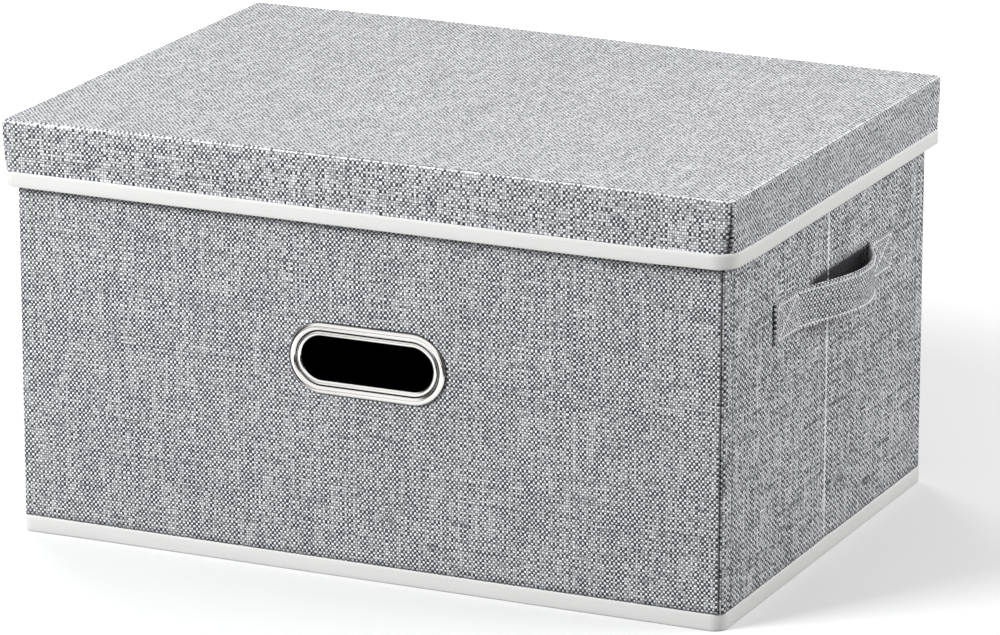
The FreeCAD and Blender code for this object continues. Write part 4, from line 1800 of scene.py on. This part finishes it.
@dataclass
class BaseInsert:
    """The fabric sleeves of the bi-fold base insert and its pull tab."""

    finishes: Finishes
    cloth_thickness: float = 0.5 * MM
    tab_thickness: float = 0.6 * MM
    tab_dip: float = 0.12 * MM
    puff: float = 0.12 * MM
    margin: float = 20.0 * MM
    step: float = 6.0 * MM
    tab_step: float = 2.0 * MM

    def sleeve(self, end: End, body: str) -> Piece:
        """A sleeve: one cloth folded round the board's outer edge, over its top and back under it.

        The section runs along the top, round a half circle at the outer edge and back along the underside.

        Args:
            end: which half of the insert.
            body: the body that it rides on.

        Returns:
            The piece.
        """
        word, sign = f"insert_{end.word}", end.value
        low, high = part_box(f"{word}_sleeve")
        crease, outer = (high.y, low.y) if end is End.FRONT else (low.y, high.y)
        radius = (high.z - low.z) / 2.0
        straight = abs(outer - crease) - radius
        near = np.array([0.6, 1.2, 2.0, 3.0, 4.5]) * MM
        run = np.unique(joined(np.linspace(0.0, straight, round(straight / self.step)), near))
        turn = np.linspace(0.0, math.pi, 9)[1:-1]
        away = joined(run, straight + radius * np.sin(turn), run[::-1])
        level = np.full(len(run), radius)
        middle = (high.z + low.z) / 2.0
        height = joined(level, radius * np.cos(turn), -level) + middle
        distance = travelled(grid(away, height))
        across = stops(low.x, high.x, self.step)
        away, height = away[:, None], height[:, None]
        puff = self.puff * ripple(across, away, 81 + sign) * smooth_step(away / self.margin)
        lift = np.where(height > middle, np.minimum(puff, 0.15 * MM), 0.0)
        points = grid(across, crease + sign * away, height + lift)
        cloth = grid(across, distance[:, None])
        surface = Surface(points, cloth) if sign > 0 else Surface(points[:, ::-1], cloth[:, ::-1])
        piece = add_piece(f"{word}_cloth", [surface], self.finishes.insert)
        thicken(piece, self.cloth_thickness)
        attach(piece, body)
        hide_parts(f"{word}_sleeve")
        return piece

    def tab(self) -> Piece:
        """The pull tab: a ribbon that dips by tab_dip * t towards its rear end, for t from 0 to 1 along it.

        Returns:
            The piece.
        """
        low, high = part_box("insert_pull_tab")
        across = stops(low.x, high.x, self.tab_step)
        deep = stops(low.y, high.y, self.tab_step)[:, None]
        share = (deep - low.y) / (high.y - low.y)
        points = grid(across, deep, high.z - self.tab_dip * share)
        piece = add_piece("pull_tab_ribbon", [Surface(points, points[..., :2])], self.finishes.binding)
        thicken(piece, self.tab_thickness)
        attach(piece, "insert_front_half")
        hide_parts("insert_pull_tab")
        return piece

    def build(self) -> None:
        """Makes both sleeves and the tab."""
        report(self.sleeve(End.REAR, "back_wall"), "sleeve")
        report(self.sleeve(End.FRONT, "insert_front_half"), "sleeve")
        report(self.tab(), "pull tab")


@dataclass
class Lid:
    """The lid's woven cover and boards, its lining and the white tape on its lower edge.

    Corner radii are for the right front, right rear, left rear and left front corner.
    """

    places: Places
    finishes: Finishes
    path: RingPath = RingPath()
    cloth_thickness: float = 0.75 * MM
    lining_thickness: float = 0.45 * MM
    edge_round: float = 1.7 * MM
    top_radii: tuple[float, ...] = (4.5 * MM, 1.6 * MM, 5.0 * MM, 1.6 * MM)
    foot_radii: tuple[float, ...] = (13.0 * MM, 5.0 * MM, 7.0 * MM, 6.0 * MM)
    seam_shares: tuple[float, ...] = (1.0, 0.3, 0.3, 0.3)
    foot_inset: float = 0.4 * MM
    seam_depth: float = 1.0 * MM
    seam_shade: float = 0.85
    left_swell: float = 0.8 * MM
    corner_droop: float = 1.6 * MM
    back_swell: float = 1.6 * MM
    swell_centre: float = -0.12
    swell_width: float = 0.17
    wave: float = 0.22 * MM
    board_foot: float = 1.6 * MM
    board_step: float = 15.0 * MM

    def skirt_rows(self) -> tuple[Array, ...]:
        """Sizes of the rings from the lower edge over the rounded top edge.

        Returns:
            Heights, insets from the lid's outline, corner radii, the share of the way up the skirt, and the
            painted highlight along the fold.
        """
        foot, top, r = self.places.lid_foot + self.board_foot, self.places.lid_top, self.edge_round
        rise = np.linspace(foot, top - r, 16)
        turn = np.linspace(0.0, QUARTER, 9)[1:]
        height = joined(rise, top - r + r * np.sin(turn))
        rounding = joined(0.0 * rise, r - r * np.cos(turn))
        share = np.clip((height - foot) / (top - r - foot), 0.0, 1.0)
        inset = rounding + self.foot_inset * (1.0 - smooth_step(share))
        at_foot, at_top = np.array(self.foot_radii), np.array(self.top_radii)
        radii = at_foot + (at_top - at_foot) * smooth_step(1.25 * share)[:, None]
        # Painted highlight on the fold, where the top edge rounds over.
        line = joined(0.0 * rise, 0.75 * hump(turn - math.radians(40.0), math.radians(13.0)))
        return height, inset, np.maximum(radii - rounding[:, None], 0.4 * MM), share, line

    def cover(self) -> Piece:
        """The woven cover: rings up the skirt, over the edge and on to the middle of the top.

        A skirt point is ring(height) + normal * (wave + swell - seam), and a top point is the last ring drawn
        towards the middle. Both follow the lid's unevenness.

        Returns:
            The piece.
        """
        places = self.places
        height, inset, radii, share, line = self.skirt_rows()
        _, normals, walls = self.path.walk()
        plan = self.path.plan(places.lid_x - inset, places.lid_y - inset, radii)
        distance = self.path.distances(places.lid_x, places.lid_y, self.foot_radii)[:-1]
        up = share[:, None]
        starts, ends = smooth_step(up * 4.0), 1.0 - smooth_step((up - 0.8) / 0.2)
        wave = self.wave * ripple(distance, height[:, None], 91) * ends * starts
        swell = self.left_swell * self.path.around(3, 0.16) * smooth_step(2.5 * up)
        seam = self.seam_nearness() * (1.0 - smooth_step((up - 0.93) / 0.07)) * starts
        plan = plan + normals * (wave + swell - self.seam_depth * seam)[..., None]

        draw = closing(46)[:, None]
        top_plan = plan[-1] * draw[..., None]
        waves = self.wave * (1.0 + ripple(top_plan[..., 0], top_plan[..., 1], 97, 0.07)) * (1.0 - draw**4)
        points = joined(raised(plan, height[:, None]), raised(top_plan, places.lid_top + waves))
        points[..., 2] += self.unevenness(points) * np.append(share, np.ones(len(draw)))[:, None]

        # Painted highlight along the top fold, and painted shade in the upright corner seams.
        mark = np.zeros(points.shape[:2])
        mark[:len(height)] = line[:, None] - self.seam_shade * seam * (line[:, None] < 0.1)
        cloth = self.cloth_corners(points, walls, len(height))
        surface = Surface(points, points[..., :2], ring=True, end_cap=True, pressed=mark, corner_cloth=cloth)
        piece = add_piece("lid_woven_cover", [surface], self.finishes.lid)
        thicken(piece, self.cloth_thickness)
        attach(piece, "lid")
        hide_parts("lid_cover")
        return piece

    def seam_nearness(self) -> Array:
        """How near each path point is to the upright seam in its corner.

        Returns:
            The corner's seam share in the middle of its turn, falling to 0 on both sides.
        """
        _, normals, _ = self.path.walk()
        angle = np.arctan2(normals[:, 1], normals[:, 0])
        from_middle = np.abs(np.mod(angle, QUARTER) - math.pi / 4.0)
        sharp = 1.0 - smooth_step(from_middle / math.radians(17.0))
        return sharp * (self.path.nearness() @ np.array(self.seam_shares))

    def unevenness(self, points: Array) -> Array:
        """How far the hand-made lid's top lies off level.

        Its left front corner droops by corner_droop * l^3 f^3, for shares l to the left and f to the front.
        Its rear edge swells by back_swell * exp(-((x - centre) / width)^2) * b^2 for the share b to the back.

        Args:
            points: points of the lid.

        Returns:
            How far each point is raised, below 0 where it droops.
        """
        left = np.clip(0.5 - points[..., 0] / (2.0 * self.places.lid_x), 0.0, 1.0)
        back = np.clip(0.5 + points[..., 1] / (2.0 * self.places.lid_y), 0.0, 1.0)
        droop = self.corner_droop * left**3 * (1.0 - back) ** 3
        swell = self.back_swell * hump(points[..., 0] - self.swell_centre, self.swell_width) * back**2
        return swell - droop

    def board(self, word: str) -> Piece:
        """One board of the lid: its upper face follows the drooping corner, and its lower face is level.

        Args:
            word: which board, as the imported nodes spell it.

        Returns:
            The piece, a slab of small quads.
        """
        low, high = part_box(f"lid_{word}_board")
        low.z = max(low.z, self.places.lid_foot + self.board_foot)
        across = np.linspace(low.x, high.x, max(2, round((high.x - low.x) / self.board_step)))
        deep = np.linspace(low.y, high.y, max(2, round((high.y - low.y) / self.board_step)))
        ring_y = joined(deep, deep[::-1])
        ring_z = np.repeat([low.z, high.z], len(deep))
        points = grid(across[:, None], ring_y, ring_z)
        points[..., 2] += np.minimum(self.unevenness(points), 0.0) * (ring_z > low.z)
        cloth = np.zeros((points.shape[0], points.shape[1] + 1, 2))
        surface = Surface(points, cloth, ring=True, start_cap=True, end_cap=True)
        piece = add_piece(f"lid_{word}_panel", [surface], self.finishes.board, smooth=False, closed=True)
        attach(piece, "lid")
        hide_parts(f"lid_{word}_board")
        return piece

    def cloth_corners(self, points: Array, walls: Array, skirt_rows: int) -> Array:
        """Cloth coordinates of every face corner, so that the weave runs on from the top down each skirt.

        The top lies at (x, y). A skirt face continues from its edge by the depth below the top, in y at the
        front and back and in x at the sides.

        Args:
            points: the cover's points.
            walls: the wall of each path point.
            skirt_rows: how many rows belong to the skirt and its edge.

        Returns:
            Rows by columns by four by two.
        """
        quads = quad_corners(closed_up(points))
        below = self.places.lid_top - quads[..., 2]
        flat = quads[..., :2]
        wall = walls[None, :, None]
        sign = np.where((wall == 0) | (wall == 3), -1.0, 1.0)
        on_long = (wall == 0) | (wall == 2)
        edge_x = sign * (self.places.lid_x + below)
        edge_y = sign * (self.places.lid_y + below)
        skirt_x = np.where(on_long, flat[..., 0], edge_x)
        skirt_y = np.where(on_long, edge_y, flat[..., 1])
        of_skirt = (np.arange(quads.shape[0]) < skirt_rows - 1)[:, None, None]
        return grid(np.where(of_skirt, skirt_x, flat[..., 0]), np.where(of_skirt, skirt_y, flat[..., 1]))

    def tape(self) -> Piece:
        """The white tape: a section folded under the skirt, carried round the lid with a slight sway.

        Returns:
            The piece.
        """
        low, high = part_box("lid_binding")
        thickness, skirt, clearance = 0.55 * MM, 3.3 * MM, 0.2 * MM
        waver, rise, corner_rise = 0.12 * MM, 0.15 * MM, 0.8 * MM
        sides = (thickness - self.foot_inset, -skirt - thickness)
        section = TapeSection(*sides, low.z, high.z - clearance, thickness, opens_up=True).points()

        def sway(distance: Array) -> tuple[Array, Array]:
            """Slow waver of the sewn tape, outwards and up, with a rise at the right front corner."""
            up = rise * (1.0 + ripple(distance, 0.0, 103, 0.11)) + corner_rise * self.path.around(0, 0.12)
            return waver * ripple(distance, 0.0, 101, 0.09), up

        radii = [radius + clearance for radius in self.foot_radii]
        surface = ring_sweep(self.path, self.places.lid_x, self.places.lid_y, radii, section, sway)
        piece = add_piece("lid_edge_tape", [surface], self.finishes.binding, closed=True)
        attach(piece, "lid")
        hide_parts("lid_binding")
        return piece

    def lining(self) -> Piece:
        """The lining: rings up from the lower edge and on to the middle of the ceiling, facing inwards.

        Returns:
            The piece.
        """
        low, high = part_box("lid_lining")
        wall = 0.5 * MM
        half_x, half_y = high.x - wall, high.y - wall
        ceiling = high.z - wall
        r, corner = 1.5 * MM, 5.7 * MM
        turn = np.linspace(0.0, QUARTER, 5)[1:]
        rise = np.linspace(low.z + 0.2 * MM, ceiling - r, 8)
        height = joined(rise, ceiling - r + r * np.sin(turn))
        inset = joined(0.0 * rise, r - r * np.cos(turn))
        plan = self.path.plan(half_x - inset, half_y - inset, np.tile(corner - inset[:, None], 4))
        top_plan = plan[-1] * closing(20)[:, None, None]
        points = joined(raised(plan, height[:, None]), raised(top_plan, ceiling))[:, ::-1]
        wide = closed_up(points)
        cloth = wide[..., :2] + wide[..., 2:] * np.sign(wide[..., :2])
        surface = Surface(points, cloth, ring=True, end_cap=True)
        piece = add_piece("lid_inner_lining", [surface], self.finishes.lining)
        thicken(piece, self.lining_thickness)
        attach(piece, "lid")
        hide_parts("lid_lining")
        return piece

    def build(self) -> None:
        """Makes the boards, the cover, the tape and the lining."""
        for word in ("top", "front", "back", "left", "right"):
            report(self.board(word), "board")
        report(self.cover(), "woven cover")
        report(self.tape(), "edge tape")
        report(self.lining(), "lining")


def finish_packed_nodes(finishes: Finishes) -> None:
    """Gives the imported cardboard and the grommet's washer their finishes.

    Args:
        finishes: the materials.
    """
    for name, node in sorted(bpy.data.objects.items()):
        if "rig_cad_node" not in node:
            continue
        metal = name.startswith("grommet")
        node.data.materials.clear()
        node.data.materials.append(finishes.chrome if metal else finishes.board)


# Studio


@dataclass(frozen=True)
class Softbox:
    """A square lamp that faces a point on the box."""

    name: str
    place: Triple
    size: float
    power: float
    colour: Triple = (1.0, 1.0, 1.0)
    aim: Triple = (0.0, 0.0, 0.12)

    def make(self) -> None:
        """Adds the lamp, which mirrors don't show: the metal reflects the white surroundings alone."""
        lamp = bpy.data.lights.new(self.name, "AREA")
        lamp.shape = "SQUARE"
        lamp.size = self.size
        lamp.energy = self.power
        lamp.color = self.colour
        holder = in_scene(self.name, lamp)
        holder.location = self.place
        holder.rotation_mode = "QUATERNION"
        holder.rotation_quaternion = (Vector(self.aim) - Vector(self.place)).to_track_quat("-Z", "Y")
        holder.visible_glossy = False


@dataclass
class Studio:
    """White floor, pale surroundings, soft lamps and the camera."""

    azimuth: float = math.radians(24.707)
    elevation: float = math.radians(15.979)
    distance: float = 3.4319
    target: Triple = (0.01362, 0.0, 0.11736)
    sensor: float = 36.0
    focal_share: float = 5.8443
    ambient: float = 0.52
    floor_colour: float = 0.74
    floor_bounce: float = 0.20
    floor_lift: float = 0.12
    reach: float = 9.0
    below: float = 0.05 * MM
    flank: tuple[float, float] = (0.26, 0.40)
    left_flank: tuple[float, float] = (-0.11, -0.17)
    near_flank: tuple[float, float] = (-0.54, -0.44)
    flank_dark: float = 0.95
    far: tuple[float, float] = (0.42, 1.3)
    far_lift: float = 0.7
    sideways: tuple[float, float] = (0.58, 0.78)
    level: tuple[float, float] = (0.75, 0.45)
    horizon: tuple[float, float] = (0.20, 0.08)
    horizon_dark: float = 0.35
    card: Colour = (0.06, 0.045, 0.035, 1.0)

    def camera(self) -> None:
        """The camera, at target + distance * (sin a cos e, -cos a cos e, sin e)."""
        data = bpy.data.cameras.new("view")
        data.sensor_width = self.sensor
        data.lens = self.focal_share * self.sensor
        data.clip_start, data.clip_end = 0.1, 60.0
        holder = in_scene("view", data)
        a, e = self.azimuth, self.elevation
        back = Vector((math.sin(a) * math.cos(e), -math.cos(a) * math.cos(e), math.sin(e)))
        holder.location = Vector(self.target) + back * self.distance
        holder.rotation_mode = "QUATERNION"
        holder.rotation_quaternion = (-back).to_track_quat("-Z", "Y")
        bpy.context.scene.camera = holder

    def seen_directly(self, r: Recipe) -> Socket:
        """What tells apart the rays that show a surface.

        Args:
            r: the floor's or the world's recipe.

        Returns:
            1 for rays from the camera, a mirror or glass, and 0 for the rest.
        """
        rays = r.add("LightPath").outputs
        mirror = r.maths("MAXIMUM", rays["Is Glossy Ray"], rays["Is Transmission Ray"])
        return r.maths("MAXIMUM", rays["Is Camera Ray"], mirror)

    def floor(self) -> None:
        """A white floor that keeps the box's shadow and otherwise shows as white."""
        r = Recipe.of("studio floor")
        shown = self.seen_directly(r)
        place = r.add("TexCoord").outputs["Object"]
        away = r.add("VectorMath", {"operation": "LENGTH"}, Vector=place).outputs[1]
        rays = r.add("LightPath").outputs
        apart = r.add("SeparateXYZ", Vector=place)
        flank = r.stretched(r.maths("ABSOLUTE", apart.outputs[0]), *self.flank)
        left = r.stretched(apart.outputs[0], *self.left_flank)
        near = r.stretched(apart.outputs[1], *self.near_flank)
        flank = r.maths("MAXIMUM", flank, r.times(left, near))
        kept = r.maths("MULTIPLY_ADD", r.times(flank, rays["Is Glossy Ray"]), -self.flank_dark, 1.0)
        tone = r.times(r.between(shown, self.floor_bounce, self.floor_colour), kept)
        matt = r.add("BsdfDiffuse", Color=tone)
        extra = r.stretched(away, *self.far, 0.0, self.far_lift)
        lift = r.times(r.plus(extra, self.floor_lift), kept)
        lift = r.times(shown, lift)
        glow = r.add("Emission", Color=WHITE, Strength=lift)
        both = r.fed("AddShader", {}, range(2), (matt.outputs[0], glow.outputs[0]))
        r.feed(r.output.inputs[0], both)
        corners = self.reach * np.array([[-1.0, -1.0], [1.0, -1.0], [1.0, 1.0], [-1.0, 1.0]])
        mesh = bpy.data.meshes.new("studio_floor")
        mesh.from_pydata(np.c_[corners, np.full(4, -self.below)].tolist(), [], [[0, 1, 2, 3]])
        mesh.materials.append(r.owner)
        floor = in_scene("studio_floor", mesh)

    def surroundings(self) -> None:
        """The world: plain ambient light, white where it is seen, and dark left and right for the metal."""
        r = Recipe(bpy.data.worlds.new("studio"), "OutputWorld")
        rays = r.add("LightPath").outputs
        way = r.add("SeparateXYZ", Vector=r.add("TexCoord").outputs["Generated"])
        sideways = r.stretched(r.maths("ABSOLUTE", way.outputs[0]), *self.sideways)
        level = r.stretched(r.maths("ABSOLUTE", way.outputs[2]), *self.level)
        horizon = r.stretched(r.maths("ABSOLUTE", way.outputs[2]), *self.horizon, 0.0, self.horizon_dark)
        card = r.maths("MAXIMUM", r.times(sideways, level), horizon)
        card = r.times(card, rays["Is Glossy Ray"])
        strength = r.between(self.seen_directly(r), self.ambient, 1.0)
        colour = r.colour_between(card, WHITE, self.card)
        light = r.add("Background", Color=colour, Strength=strength)
        r.feed(r.output.inputs[0], light.outputs[0])
        bpy.context.scene.world = r.owner

    def lamps(self) -> None:
        """Soft lamps: the main one left in front, one left behind and a fill on the right."""
        Softbox("back_left", (-1.9, 2.0, 1.3), 1.2, 32.0).make()
        Softbox("left_front", (-1.2, -1.75, 1.35), 0.9, 60.0, (0.99, 1.0, 1.0)).make()
        Softbox("right_fill", (1.35, 0.35, 0.75), 0.7, 12.0).make()

    def build(self) -> None:
        """Sets the studio up."""
        bpy.context.scene.view_settings.view_transform = "Standard"
        self.camera()
        self.floor()
        self.surroundings()
        self.lamps()


def main() -> None:
    """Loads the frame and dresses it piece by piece."""
    logging.basicConfig(level=logging.INFO, format="%(name)s: %(message)s")
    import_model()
    places = Places.read()
    finishes = Finishes.make()
    finish_packed_nodes(finishes)
    Studio().build()
    WallCovers(places, finishes).build()
    WallLinings(places, finishes).build()
    RimBindings(places, finishes).build()
    Foot(places, finishes).build()
    Grommet(finishes).build()
    for side in Side:
        StrapHandle(side, places, finishes).build()
    BaseInsert(finishes).build()
    Lid(places, finishes).build()


if __name__ == "__main__":
    main()
